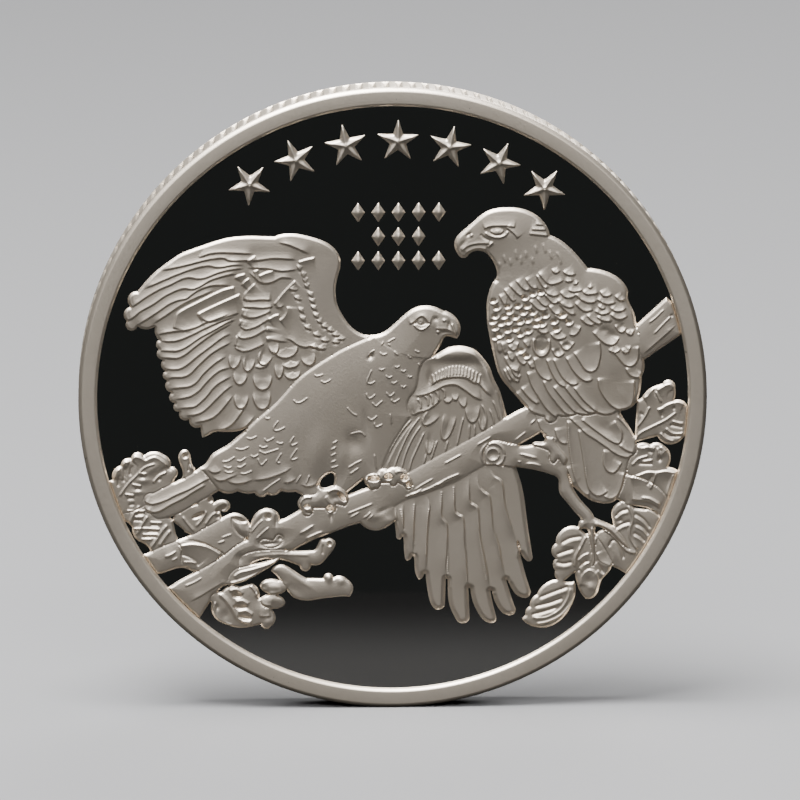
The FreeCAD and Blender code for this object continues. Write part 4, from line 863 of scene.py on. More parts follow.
def right_head(f):
    f.on('right_eagle_head')
    f.bumps([
        (6.9, 11.0, 1.7, 0.9, 0.02), (4.5, 10.4, 0.5, 0.9, 0.02, -25), (6.6, 10.78, 0.62, 0.26, -0.05),
        (6.6, 10.78, 0.26, 0.17, 0.07),
    ])
    f.steps([
        [(5.75, 10.93), (6.15, 11.08), (6.8, 11.12), (7.3, 11.1), (7.75, 11.02)],
        [(6.12, 10.82), (6.35, 10.64), (6.6, 10.59), (6.87, 10.66), (7.02, 10.86)],
        [(4.35, 9.5), (4.7, 9.8), (5.2, 9.96), (5.8, 9.99), (6.15, 9.95)],
        [(4.6, 9.33), (4.9, 9.53), (5.4, 9.64), (5.95, 9.58)],
        [(7.15, 11.03), (7.45, 10.8), (7.7, 10.58), (7.9, 10.3)],
        [(8.75, 10.88), (9.3, 10.84), (9.75, 10.84)], [(8.6, 10.6), (9.2, 10.52), (9.95, 10.44)],
        [(9.0, 11.2), (9.6, 11.14)],
    ], 0.06, 0.18, 0.12)
    f.ridges([
        [(5.8, 10.72), (6.2, 10.48), (6.65, 10.4), (7.05, 10.5), (7.3, 10.8)],
        [(6.0, 9.72), (6.15, 9.92), (6.35, 10.1)],
    ], 0.055, 0.09, 0.12)
    f.ridges([
        [(7.0, 9.35), (7.15, 8.7)], [(7.75, 9.65), (7.87, 8.9)], [(8.4, 9.6), (8.45, 9.0)],
        [(9.0, 9.95), (9.12, 9.3)], [(9.5, 10.05), (9.72, 9.3)],
        [(10.3, 9.5), (10.6, 9.05), (10.65, 8.55)], [(7.4, 9.1), (7.5, 8.5)], [(8.1, 9.3), (8.15, 8.6)],
        [(8.8, 9.2), (8.9, 8.6)], [(9.9, 9.6), (10.1, 8.9)], [(6.7, 8.9), (6.8, 8.4)],
    ], 0.022, 0.1, 0.25)
    f.ridge([(5.5, 10.62), (5.8, 10.35), (6.25, 10.15)], -0.035, 0.1, 0.1)
    f.bumps([
        (4.8, 10.58, 0.16, 0.07, -0.05, 35), (4.97, 10.53, 0.08, 0.08, 0.04),
        (4.4, 9.95, 0.13, 0.3, -0.04, -35),
    ])


def right_body(f):
    f.on(['right_eagle_head', 'right_eagle_body'])
    # Neck and breast feathers
    f.steps([
        [(10.05, 8.4), (10.15, 8.15), (10.35, 8.07), (10.65, 8.25)],
        [(10.75, 8.25), (10.95, 8.0), (11.3, 7.92), (11.65, 8.0)],
        [(9.15, 8.15), (9.45, 7.78), (9.75, 7.45), (10.1, 7.35), (10.5, 7.45), (10.85, 7.62)],
        [(10.85, 7.6), (11.15, 7.5), (11.5, 7.6)], [(11.4, 7.4), (11.6, 7.33), (11.8, 7.55)],
        [(7.3, 7.38), (7.7, 6.95), (8.05, 6.65), (8.35, 6.68)],
        [(7.75, 7.65), (8.1, 7.22), (8.4, 6.98), (8.75, 7.02)],
        [(8.35, 7.8), (8.6, 7.38), (8.9, 7.1), (9.25, 7.12)],
        [(9.05, 8.0), (9.3, 7.5), (9.55, 7.17), (9.9, 7.15)],
        [(7.0, 7.1), (7.3, 6.62), (7.6, 6.3), (7.85, 6.38)],
        [(6.7, 6.75), (6.9, 6.3), (7.15, 6.0), (7.4, 6.1)],
    ], 0.08, 0.24, 0.22)
    # Rows over the shoulder
    f.steps([
        [(9.45, 7.2), (9.75, 6.78), (10.2, 6.6), (10.6, 6.72)],
        [(10.55, 6.9), (10.9, 6.52), (11.3, 6.5), (11.65, 6.66)],
        [(11.05, 7.0), (11.45, 6.85), (11.8, 6.9), (12.1, 7.02)],
        [(12.0, 7.0), (12.2, 6.72), (12.6, 6.7), (13.1, 6.78)],
        [(13.1, 6.95), (13.3, 6.62), (13.6, 6.55), (13.95, 6.72)],
        [(14.05, 6.65), (14.3, 6.32), (14.6, 6.28), (14.8, 6.42)],
        [(12.3, 7.2), (12.5, 7.1), (12.75, 7.2)], [(9.55, 6.75), (9.9, 6.35), (10.2, 6.12), (10.6, 6.25)],
        [(10.35, 6.4), (10.8, 6.0), (11.2, 5.85), (11.55, 5.97)],
        [(11.5, 6.75), (12.0, 6.32), (12.5, 6.15), (13.0, 6.27)],
        [(12.9, 6.42), (13.2, 6.2), (13.6, 6.05), (14.2, 6.15)],
        [(9.05, 6.55), (9.4, 6.12), (9.7, 5.95), (9.95, 6.05)],
        [(8.6, 6.35), (8.9, 6.02), (9.2, 5.75), (9.5, 5.65), (9.85, 5.75)],
        [(9.85, 6.02), (10.1, 5.62), (10.4, 5.42), (10.75, 5.5)],
        [(10.5, 6.12), (10.9, 5.7), (11.3, 5.42), (11.65, 5.42)],
        [(11.5, 6.2), (11.8, 5.85), (12.2, 5.6), (12.75, 5.68)],
        [(12.95, 6.0), (13.25, 5.75), (13.55, 5.82)],
        [(13.75, 5.85), (14.1, 5.6), (14.5, 5.6), (14.85, 5.8)],
        [(12.75, 5.65), (13.2, 5.4), (13.6, 5.45), (13.85, 5.6)],
        [(13.75, 5.45), (14.1, 5.15), (14.5, 5.08), (14.95, 5.3)],
        [(10.15, 5.4), (10.5, 5.15), (10.9, 5.05), (11.15, 5.18)],
        [(11.85, 5.2), (12.2, 4.85), (12.6, 4.7), (12.85, 4.82)],
        [(12.25, 5.4), (12.6, 5.02), (13.0, 4.8), (13.35, 4.86)],
        [(12.9, 5.3), (13.2, 5.05), (13.6, 4.95), (13.95, 5.0)],
        [(14.05, 4.75), (14.3, 4.32), (14.6, 4.22), (14.85, 4.5)],
        [(14.75, 4.35), (14.95, 4.1), (15.2, 4.08), (15.35, 4.45)],
        [(9.95, 4.25), (10.2, 3.92), (10.5, 3.8), (10.9, 3.9), (11.05, 4.05)],
        [(11.15, 4.12), (11.5, 4.05), (11.8, 4.3), (11.95, 4.7)],
        [(9.05, 4.65), (9.3, 4.3), (9.6, 4.2), (9.95, 4.32)],
        [(10.55, 3.65), (10.8, 3.22), (11.1, 3.13), (11.4, 3.4), (11.55, 3.65)],
        [(10.05, 3.25), (10.3, 2.77), (10.6, 2.7), (10.95, 2.95)],
    ], 0.08, 0.24, 0.22)
    # Broad rounded feathers
    f.steps([
        [(8.88, 3.95), (8.88, 3.25), (9.1, 2.85), (9.45, 2.7), (9.8, 2.9), (9.97, 3.3), (9.97, 3.9)],
        [(11.45, 3.0), (11.9, 2.3), (12.2, 1.86), (12.6, 1.7), (12.95, 1.9), (13.12, 2.4), (13.2, 3.0),
         (13.1, 3.7)],
        [(12.65, 4.3), (13.1, 3.82), (13.5, 3.5), (13.9, 3.42), (14.2, 3.58), (14.4, 3.95)],
        [(13.0, 1.35), (13.1, 0.7), (13.4, 0.1), (13.9, -0.5), (14.5, -0.78), (15.0, -0.7), (15.25, -0.3),
         (15.35, 0.4), (15.35, 1.2)],
        [(14.0, 3.0), (14.4, 2.5), (14.75, 2.12), (15.1, 2.04), (15.4, 2.2), (15.6, 2.6), (15.62, 3.4)],
        [(14.75, 2.0), (15.0, 1.52), (15.4, 1.32), (15.7, 1.36), (15.92, 1.7)],
        [(13.65, 3.12), (14.0, 2.94), (14.3, 3.0), (14.5, 3.2)],
        [(14.5, 3.25), (14.65, 2.92), (15.0, 2.98), (15.12, 3.4)],
    ], 0.08, 0.24, 0.22)
    # Lower breast
    f.steps([
        [(7.3, 3.5), (7.45, 3.2), (7.65, 3.1), (7.9, 3.3), (8.0, 3.7)],
        [(6.6, 3.8), (6.62, 3.25), (6.8, 2.9)], [(6.88, 3.7), (6.98, 3.1), (7.2, 2.8)],
        [(7.25, 3.1), (7.4, 2.62), (7.7, 2.4)], [(7.75, 2.95), (8.0, 2.42), (8.3, 2.2), (8.55, 2.4)],
        [(8.25, 3.8), (8.45, 3.42), (8.75, 3.3)], [(8.55, 2.4), (8.75, 2.02), (9.05, 2.0)],
        [(7.0, 1.95), (7.2, 1.42), (7.5, 1.0)], [(7.15, 2.1), (7.4, 1.52), (7.75, 1.12), (8.1, 1.12)],
        [(7.45, 2.0), (7.7, 1.52), (8.0, 1.35), (8.15, 1.55)],
        [(7.05, 2.75), (7.3, 2.2), (7.7, 1.82), (8.1, 1.7)],
    ], 0.08, 0.24, 0.22)
    # Long swept feathers
    f.steps([
        [(8.1, 0.75), (8.4, 0.32), (8.8, -0.1), (9.1, -0.3), (9.35, -0.25)],
        [(7.7, 0.4), (8.2, -0.3), (8.8, -0.8), (9.4, -1.2), (9.9, -1.5), (10.15, -1.45)],
        [(8.5, 1.75), (8.8, 0.85), (9.3, 0.0), (9.7, -0.6), (10.2, -1.1), (10.7, -1.28), (11.25, -1.15)],
        [(9.5, 1.2), (9.8, 0.5), (10.3, -0.2), (10.8, -0.8), (11.2, -1.07), (11.7, -1.1)],
        [(8.9, 2.7), (9.08, 1.95), (9.4, 1.42), (9.8, 1.2), (10.15, 1.25)],
        [(9.72, 2.6), (10.0, 1.8), (10.4, 1.1), (10.8, 0.78), (11.1, 0.8)],
        [(10.15, 2.6), (10.5, 1.8), (10.9, 1.2), (11.4, 0.87), (11.85, 0.97)],
        [(10.95, 2.7), (11.4, 1.85), (11.9, 1.3), (12.3, 1.1), (12.75, 1.2)],
        [(10.15, 0.8), (10.6, 0.2), (11.1, -0.4), (11.6, -0.9), (12.1, -1.1), (12.65, -1.05)],
        [(10.85, 0.8), (11.4, 0.1), (12.0, -0.6), (12.5, -0.92), (13.05, -0.92)],
        [(11.45, 0.75), (12.0, 0.0), (12.6, -0.6), (13.2, -1.0), (13.8, -1.12), (14.3, -1.05),
         (14.65, -0.85)],
    ], 0.08, 0.24, 0.22)
    # Small pitted feathers on the breast
    for k, (x, z) in enumerate((
        (6.6, 5.85), (7.4, 5.6), (7.1, 5.3), (7.8, 5.25), (8.3, 5.55), (8.9, 5.55), (8.55, 5.95),
        (7.95, 5.98), (9.2, 5.2), (8.6, 5.05),
        (9.7, 5.35), (9.5, 4.8), (10.25, 4.95), (6.9, 4.85), (6.5, 4.55), (7.8, 4.5), (8.6, 4.35),
        (6.8, 4.1), (7.4, 3.85), (8.1, 4.15),
        (10.4, 4.45), (10.8, 5.35), (11.2, 4.9), (6.5, 5.3), (9.1, 4.75), (7.35, 4.95), (6.35, 4.95),
        (8.1, 4.95), (7.3, 4.4),
        (8.4, 6.5), (8.9, 6.75), (9.4, 6.85), (6.4, 6.3), (6.5, 3.95), (8.15, 3.1), (8.5, 2.75), (7.3, 5.95),
    )):
        f.pit(x - 0.05, z + 0.04, 0.2, 0.16, 0.11, 15 * math.sin(k))
        f.scale(x, z, 0.3, 0.24, 25, 0.06, 0.22, 200)
    f.pit(9.42, 3.55, 0.48, 0.62, 0.09)
    f.bumps([
        (12.4, 3.0, 0.5, 0.9, -0.02), (14.2, 0.9, 0.6, 0.9, -0.03, 15),
        (13.9, 4.05, 0.45, 0.3, -0.05, -20), (10.4, 3.05, 0.2, 0.2, -0.06),
        (11.0, 3.45, 0.3, 0.18, -0.05), (14.4, 4.6, 0.22, 0.28, -0.05), (13.4, 4.4, 0.3, 0.2, -0.03),
    ])
    f.on(['right_eagle_body', 'right_eagle_tail'])
    f.steps([
        [(11.95, -1.35), (12.5, -1.8), (13.1, -2.25), (13.8, -2.75), (14.25, -2.95), (14.5, -2.85),
         (14.6, -2.4), (14.5, -2.0), (14.1, -1.4)],
        [(11.2, -1.25), (11.8, -1.82), (12.3, -2.3), (12.9, -2.7), (13.5, -3.12), (14.1, -3.56),
         (14.6, -3.8), (15.1, -3.85), (15.35, -3.7)],
        [(14.35, -3.05), (14.9, -3.42), (15.4, -3.6)],
        [(9.15, -1.35), (9.4, -2.0), (9.8, -2.5), (10.35, -2.95)],
        [(10.28, -1.9), (10.4, -2.42), (10.6, -2.8), (10.9, -2.95), (11.15, -2.9)],
        [(11.08, -1.4), (11.15, -2.6), (11.3, -3.8), (11.5, -4.9), (11.8, -5.7), (12.2, -6.2),
         (12.6, -6.3)],
        [(11.78, -2.0), (11.95, -3.0), (12.15, -4.2), (12.3, -5.2), (12.5, -5.9), (12.9, -6.3),
         (13.3, -6.3), (13.75, -6.0)],
        [(13.42, -3.3), (13.4, -4.2), (13.62, -4.7), (14.0, -4.86), (14.3, -4.65), (14.6, -4.15)],
        [(13.4, -6.35), (13.8, -6.55), (14.2, -6.4), (14.5, -6.0), (14.7, -5.2), (14.78, -4.8)],
        [(10.95, -4.4), (11.2, -5.2), (11.5, -5.65)],
    ], 0.07, 0.26, 0.2)
    f.ridge([(14.25, -1.15), (14.9, -1.85), (15.3, -2.4), (15.5, -3.1)], 0.05, 0.08, 0.2)
    f.beads([(11.1, -1.8), (11.2, -3.0), (11.35, -4.2), (11.6, -5.2)], 0.03, 0.06, 0.15)
    f.beads([(12.2, -4.4), (12.35, -5.3)], 0.03, 0.06, 0.15)
    f.bump(13.5, -2.0, 0.6, 0.35, -0.03, -35)


BIRDS = [name for name in LEVELS if "eagle" in name]
BOUGHS = [name for name in LEVELS if name not in BIRDS + ["star_arc", "lozenge_rows"]]


def branches(f):
    f.on(BOUGHS)
    f.ridges([
        [(1.3, -5.9), (1.9, -5.5), (2.6, -5.1)], [(1.0, -6.2), (2.2, -5.8), (3.5, -5.12), (4.3, -4.8)],
        [(7.7, -2.75), (8.5, -2.1)], [(-6.0, -8.65), (-5.5, -8.35), (-5.0, -8.05)],
        [(-5.6, -9.0), (-4.9, -8.65), (-4.4, -8.5)], [(-2.95, -7.38), (-2.0, -7.0), (-1.25, -6.7)],
        [(-2.8, -7.66), (-2.1, -7.25)], [(-1.95, -7.72), (-1.6, -7.45), (-1.4, -7.2)],
        [(-1.65, -7.82), (-1.25, -7.4)], [(0.7, -6.35), (1.5, -6.0), (1.9, -5.75)],
        [(3.2, -4.2), (4.4, -3.55)], [(5.3, -3.0), (6.3, -2.4)], [(2.6, -5.6), (3.4, -5.3)],
        [(8.7, -1.7), (9.1, -1.3)], [(16.2, 4.8), (16.7, 5.2), (17.25, 5.75)],
        [(16.55, 4.1), (17.1, 4.7), (17.7, 5.3)], [(8.0, -3.55), (8.5, -3.65), (9.2, -3.85)],
        [(8.4, -4.2), (8.9, -4.2), (9.5, -4.38)], [(7.9, -4.05), (8.2, -4.1)],
    ], 0.05, 0.055, 0.25)
    f.steps([
        [(1.0, -6.4), (2.2, -6.0), (3.5, -5.35), (4.6, -4.85)],
        [(15.85, 2.75), (16.9, 3.68), (18.05, 4.72)], [(-6.1, -8.8), (-5.4, -8.45), (-4.9, -8.2)],
        [(-5.8, -9.15), (-4.8, -8.75), (-4.2, -8.65)],
        [(-13.05, -13.05), (-12.2, -12.6), (-11.2, -12.0), (-10.6, -11.7)],
        [(8.1, -3.7), (8.8, -3.85), (9.4, -4.0)], [(8.2, -4.35), (8.9, -4.4), (9.6, -4.5)],
        [(-14.6, -10.25), (-13.8, -9.9)],
    ], 0.045, 0.25)
    f.ridges([
        [(-13.3, -12.0), (-12.7, -11.75), (-12.2, -11.45)],
        [(-14.6, -10.1), (-14.2, -9.95), (-13.8, -9.72)], [(-14.15, -10.38), (-13.7, -10.12)],
    ], 0.045, 0.06, 0.15)
    for radius, height in ((0.74, 0.05), (0.38, 0.04)):
        circle = []
        for k in range(13):
            circle.append((6.35 + radius * math.cos(k * 0.52), -3.6 + radius * math.sin(k * 0.52)))
        f.ridge(circle, height, 0.09, 0.01)
    f.bumps([
        (6.35, -3.6, 0.25, 0.25, -0.05), (10.45, -3.4, 0.3, 0.4, 0.06, 35),
        (17.7, 5.3, 0.08, 0.08, -0.04),
    ])
    f.step([(10.2, -4.05), (10.4, -3.72), (10.65, -3.78), (10.8, -3.98)], 0.06, 0.2, 0.1)
    f.bumps([
        (-1.2, -7.5, 0.35, 0.3, 0.04, 20), (-0.3, -7.85, 0.3, 0.25, 0.03),
        (-0.7, -7.2, 0.5, 0.16, -0.03, 25), (-3.95, -7.5, 0.1, 0.3, -0.06),
        (12.3, -8.35, 0.1, 0.16, -0.05),
    ])
    f.ridge([(12.75, -8.1), (13.8, -8.45), (14.5, -9.15), (15.0, -9.75)], 0.03, 0.16, 0.2)
    f.pit(-9.75, -7.72, 0.5, 0.2, 0.12, -15)
    f.bump(-9.72, -8.3, 0.2, 0.5, 0.05, 26)
    f.step([
        (-10.3, -7.5), (-10.3, -7.95), (-10.1, -8.4), (-9.75, -8.78), (-9.35, -8.95),
    ], -0.06, 0.2, 0.1)
    f.ridges([
        [(-10.95, -8.92), (-10.6, -8.75), (-10.25, -8.65)], [(-11.2, -9.25), (-10.7, -9.05)],
    ], 0.045, 0.06, 0.15)
    f.ridges([
        [(-9.1, -8.6), (-8.7, -8.1), (-8.3, -7.7)], [(-8.75, -9.0), (-8.3, -8.55), (-7.9, -8.2)],
    ], 0.05, 0.06, 0.15)
    f.pit(-7.95, -7.5, 0.24, 0.24, 0.13, -40)
    f.bump(-7.45, -7.8, 0.1, 0.4, -0.05)
    f.bump(-8.5, -7.75, 0.12, 0.5, -0.03, -40)
    f.pit(-4.05, -9.3, 0.15, 0.18, 0.12)
    f.ridge([(-4.45, -9.35), (-4.5, -10.05)], -0.04, 0.08, 0.15)
    f.ridge([(-9.0, -10.15), (-7.4, -10.0), (-5.2, -10.05)], 0.03, 0.12, 0.4)
    f.bumps([
        (-9.8, -10.2, 0.2, 0.3, -0.05), (-7.2, -8.95, 0.12, 0.12, -0.06),
        (-7.9, -9.3, 0.5, 0.1, -0.05, 5), (-4.05, -11.55, 0.25, 0.28, 0.05),
        (-3.3, -11.75, 0.25, 0.22, 0.04), (-6.2, -12.3, 0.7, 0.3, -0.03, -35),
        (-5.9, -11.7, 0.9, 0.18, 0.03, -35),
    ])


def foliage(f):
    f.on(BOUGHS)
    # Cupped leaf with a midrib and folds
    f.steps([
        [(-14.35, -4.2), (-14.6, -3.9), (-15.1, -3.6), (-15.5, -3.68), (-15.75, -3.8), (-16.0, -3.65),
         (-16.4, -3.55), (-16.7, -3.8)],
        [(-16.75, -3.95), (-17.05, -3.9), (-17.25, -4.15)],
        [(-17.35, -4.35), (-17.6, -4.5), (-17.75, -5.0)],
    ], 0.09, 0.3, 0.1)
    f.ridge([
        (-17.45, -6.2), (-16.9, -5.4), (-16.3, -4.8), (-15.8, -4.3), (-15.1, -4.05),
    ], 0.05, 0.08, 0.2)
    f.ridges([
        [(-16.2, -4.66), (-15.9, -4.7), (-15.65, -4.72)],
        [(-16.65, -5.38), (-16.35, -5.44), (-16.0, -5.52)],
        [(-17.1, -6.03), (-16.8, -6.06), (-16.45, -6.12)], [(-15.3, -5.3), (-14.9, -4.85), (-14.4, -4.6)],
    ], 0.07, 0.07, 0.12)
    f.ridges([
        [(-16.2, -4.95), (-15.7, -4.95)], [(-16.5, -5.68), (-16.0, -5.72)],
        [(-17.0, -6.3), (-16.4, -6.3)], [(-17.05, -4.25), (-17.15, -5.3)],
        [(-17.42, -4.7), (-17.5, -5.6)], [(-16.6, -4.1), (-16.75, -4.9)],
        [(-15.0, -5.2), (-14.75, -4.95)], [(-16.9, -6.75), (-16.4, -6.65)],
        [(-14.45, -4.3), (-14.0, -4.5)],
    ], -0.05, 0.12, 0.2)
    f.bumps([
        (-15.3, -4.4, 0.6, 0.25, 0.04, 35), (-15.9, -5.15, 0.45, 0.2, 0.04),
        (-16.3, -5.9, 0.4, 0.14, 0.03),
    ])
    f.pit(-13.22, -3.52, 0.2, 0.2, 0.14)
    f.bump(-13.22, -3.8, 0.14, 0.05, 0.02)
    f.bump(-12.85, -4.3, 0.16, 0.2, 0.04)
    f.ridge([(-12.98, -4.0), (-13.02, -4.6)], -0.05, 0.07, 0.1)
    f.ridges([
        [(-17.0, -7.1), (-16.3, -7.12), (-15.75, -7.12)], [(-16.5, -7.5), (-15.85, -7.5)],
        [(-16.6, -8.28), (-15.8, -8.25), (-14.8, -8.32)], [(-16.0, -8.65), (-14.95, -8.66)],
        [(-16.1, -8.95), (-15.3, -8.95)], [(-15.5, -7.85), (-14.7, -7.9)],
    ], 0.065, 0.07, 0.12)
    f.ridges([
        [(-16.3, -7.3), (-15.8, -7.3)], [(-16.6, -7.72), (-15.9, -7.75)],
        [(-15.7, -8.46), (-14.95, -8.48)], [(-15.9, -8.8), (-15.0, -8.82)],
        [(-15.5, -8.05), (-14.9, -8.08)],
    ], -0.05, 0.07, 0.12)
    f.ridges([
        [(-16.8, -7.95), (-16.55, -7.35), (-16.1, -6.75)],
        [(-16.35, -8.7), (-16.05, -8.1), (-15.6, -7.4)],
        [(-15.5, -9.6), (-15.1, -9.0), (-14.7, -8.4), (-14.35, -8.0)],
        [(-14.95, -9.45), (-14.55, -8.85), (-14.15, -8.35)],
    ], 0.07, 0.12, 0.2)
    f.pits([
        (-11.6, -6.42, 0.22, 0.18, 0.12), (-10.95, -7.0, 0.45, 0.24, 0.13, 30),
        (-12.4, -7.42, 0.5, 0.18, 0.12, 25),
    ])
    f.bump(-11.15, -7.55, 0.12, 0.12, -0.05)
    f.ridges([
        [(-13.45, -7.45), (-13.1, -7.95), (-12.65, -8.5)], [(-12.6, -8.2), (-12.1, -7.6), (-11.9, -7.1)],
        [(-12.0, -8.1), (-11.6, -7.5), (-11.2, -7.2)],
    ], 0.05, 0.09, 0.2)
    # Dark folded leaf over the log
    f.step([(-10.9, -9.95), (-11.6, -9.5), (-12.3, -9.3), (-13.0, -9.25), (-13.7, -9.4)], 0.09, 0.4, 0.15)
    f.step([(-13.6, -10.0), (-13.1, -10.15), (-12.7, -10.4), (-12.4, -10.75)], -0.05, 0.3, 0.1)
    f.ridge([(-13.4, -10.45), (-12.9, -10.45), (-12.5, -10.55)], 0.05, 0.06, 0.1)
    f.step([(-7.3, -10.3), (-8.0, -10.6), (-9.0, -10.9), (-9.8, -11.1), (-10.2, -11.4)], 0.07, 0.25, 0.1)
    f.ridge([
        (-10.4, -11.85), (-9.7, -11.65), (-8.9, -11.35), (-7.9, -10.9), (-7.2, -10.55),
    ], 0.07, 0.08, 0.1)
    f.ridge([
        (-11.1, -12.5), (-10.6, -13.0), (-10.2, -13.6), (-9.85, -14.15), (-9.0, -14.5),
    ], 0.08, 0.16, 0.15)
    f.ridge([(-11.35, -13.0), (-11.42, -13.7), (-11.05, -14.3), (-10.2, -14.6)], 0.05, 0.08, 0.2)
    f.ridges([
        [(-10.5, -12.35), (-9.95, -12.25), (-9.6, -12.6)],
        [(-10.1, -13.05), (-9.6, -13.0), (-9.2, -13.25)],
        [(-9.95, -13.75), (-9.4, -13.65), (-8.95, -13.95)], [(-9.7, -14.35), (-9.0, -14.35)],
    ], 0.07, 0.13, 0.12)
    f.pits([
        (-9.95, -12.6, 0.36, 0.24, 0.14), (-9.75, -13.38, 0.5, 0.18, 0.12, -5),
        (-9.5, -14.08, 0.5, 0.15, 0.1, -12),
    ])
    f.bump(-11.2, -13.4, 0.1, 0.18, -0.05)
    f.bump(-10.7, -13.9, 0.25, 0.3, -0.04)
    f.steps([
        [(-8.9, -12.6), (-8.6, -12.8), (-8.3, -12.7)], [(-9.2, -12.0), (-8.9, -12.35), (-8.7, -12.7)],
        [(-8.0, -12.55), (-7.4, -12.5), (-7.0, -12.4)], [(-8.5, -13.2), (-8.1, -13.3), (-7.7, -13.35)],
        [(-8.6, -14.0), (-8.2, -14.05), (-7.8, -14.0)],
    ], 0.07, 0.25, 0.12)
    f.bumps([
        (-7.6, -12.1, 0.5, 0.25, 0.05), (-7.6, -12.9, 0.5, 0.28, 0.06), (-8.2, -13.6, 0.35, 0.35, 0.05),
        (-8.0, -14.4, 0.3, 0.25, 0.04), (-8.6, -11.75, 0.4, 0.14, 0.05), (-8.4, -12.1, 0.3, 0.14, -0.05),
    ])
    leaf_lines = [
        [(12.1, -8.95), (11.3, -9.08), (10.7, -9.4)], [(11.6, -9.75), (11.0, -9.92), (10.4, -10.15)],
        [(11.5, -10.6), (10.9, -10.72), (10.35, -10.6)], [(11.25, -12.2), (10.2, -12.58), (9.3, -12.95)],
        [(10.9, -12.95), (9.9, -13.3), (9.0, -13.5)], [(10.5, -13.55), (9.6, -13.85), (8.8, -14.05)],
        [(12.45, -10.45), (12.05, -10.85), (11.8, -11.3)], [(12.95, -10.45), (13.2, -10.9), (13.4, -11.35)],
        [(15.1, -7.2), (14.55, -7.35), (14.15, -7.75)], [(15.2, -8.0), (14.6, -8.2), (14.15, -8.5)],
        [(15.35, -7.45), (16.0, -7.9), (16.45, -8.5)], [(15.4, -8.1), (16.0, -8.45), (16.35, -8.95)],
        [(15.3, -8.7), (15.85, -9.05), (16.1, -9.4)],
        [(13.75, -9.7), (14.0, -9.25), (14.3, -9.35), (14.6, -9.9), (14.75, -10.5)],
    ]
    f.ridges(leaf_lines, -0.055, 0.1, 0.2)
    f.ridges([[(x, z - 0.24) for x, z in line] for line in leaf_lines[:6]], 0.03, 0.13, 0.3)
    f.ridges([[(x, z - 0.22) for x, z in line] for line in leaf_lines[8:13]], 0.035, 0.11, 0.25)
    f.step([
        (12.95, -12.6), (13.15, -11.9), (12.95, -11.3), (12.5, -11.1), (12.05, -11.5), (11.88, -12.2),
    ], 0.07, 0.3, 0.2)
    f.steps([
        [(12.55, -10.0), (12.1, -10.2), (11.75, -10.55)], [(12.6, -10.6), (12.2, -10.75), (11.8, -11.1)],
        [(13.9, -10.9), (13.4, -10.75), (13.0, -10.5)], [(13.75, -11.35), (13.4, -11.4), (13.05, -11.1)],
    ], 0.06, 0.25, 0.15)
    f.ridge([(11.95, -9.6), (11.7, -10.4), (11.68, -11.3), (11.85, -12.3)], 0.045, 0.08, 0.2)
    f.ridges([
        [(12.35, -8.9), (11.95, -9.7), (11.62, -10.35), (11.6, -11.0)],
        [(12.7, -8.3), (12.72, -9.6), (12.8, -10.9)],
        [(11.65, -12.6), (11.4, -13.3), (10.7, -14.1), (9.8, -14.52), (9.1, -14.62)],
        [(15.0, -6.95), (15.3, -7.8), (15.12, -8.5), (15.15, -9.1), (15.6, -9.85)],
        [(15.8, -6.45), (16.4, -6.55), (17.05, -6.95)], [(13.0, -8.95), (12.85, -9.5), (12.95, -10.1)],
    ], 0.06, 0.09, 0.2)
    f.step([(11.3, -12.25), (11.1, -13.0), (10.6, -13.7), (9.8, -14.15), (9.0, -14.22)], 0.06, 0.2, 0.2)
    f.steps([
        [(12.95, -10.0), (13.2, -10.58), (13.7, -10.83), (14.05, -10.95)],
        [(12.8, -8.35), (13.5, -8.6), (14.1, -9.05), (14.6, -9.65), (14.95, -9.98), (15.6, -10.15)],
        [(15.2, -6.6), (16.3, -6.75), (17.0, -7.15)],
    ], 0.07, 0.25, 0.15)
    f.bumps([
        (12.62, -11.95, 0.42, 0.75, 0.06), (12.55, -11.85, 0.28, 0.28, -0.06),
        (13.5, -9.4, 0.4, 0.6, 0.03), (14.3, -10.2, 0.25, 0.6, 0.03, 20),
        (14.5, -7.95, 0.15, 0.12, -0.05), (11.2, -9.55, 0.4, 0.15, 0.03, 15),
    ])
    f.steps([
        [(16.75, -3.25), (16.3, -3.12), (15.9, -3.2), (15.5, -3.12)],
        [(17.5, -3.45), (17.15, -3.15), (16.95, -3.3)],
        [(18.1, -4.85), (17.4, -4.72), (16.8, -4.8), (16.2, -4.78), (15.6, -5.0), (15.1, -5.15)],
        [(17.95, 0.6), (17.7, 0.9), (17.35, 0.85), (17.0, 0.65), (16.75, 0.5)],
        [(16.65, 0.55), (16.45, 0.6), (16.2, 0.2), (15.9, 0.0)],
        [(18.6, -0.4), (18.1, -0.2), (17.8, -0.3), (17.4, -0.45), (17.1, -0.65), (16.8, -0.75)],
    ], 0.08, 0.3, 0.1)
    f.ridges([
        [(18.05, -0.95), (17.3, -1.48), (16.5, -1.88), (15.75, -2.28), (15.4, -2.75)],
        [(16.35, -0.55), (16.05, -1.2), (15.5, -1.95)], [(16.72, 0.45), (16.9, 0.05), (17.1, -0.35)],
        [(17.75, -1.5), (18.1, -1.62), (18.55, -1.7)],
        [(17.35, -1.95), (17.75, -2.28), (18.15, -2.35), (18.55, -2.3)],
        [(17.0, -2.25), (17.4, -2.65), (17.95, -2.85)], [(15.2, -4.4), (15.65, -3.95), (16.3, -3.75)],
        [(15.85, -4.15), (16.6, -4.02)], [(16.85, -3.2), (16.95, -3.8)],
        [(16.8, -4.85), (16.6, -5.4), (16.4, -5.95)], [(17.9, -4.95), (17.6, -5.8), (17.45, -6.4)],
    ], 0.06, 0.08, 0.15)
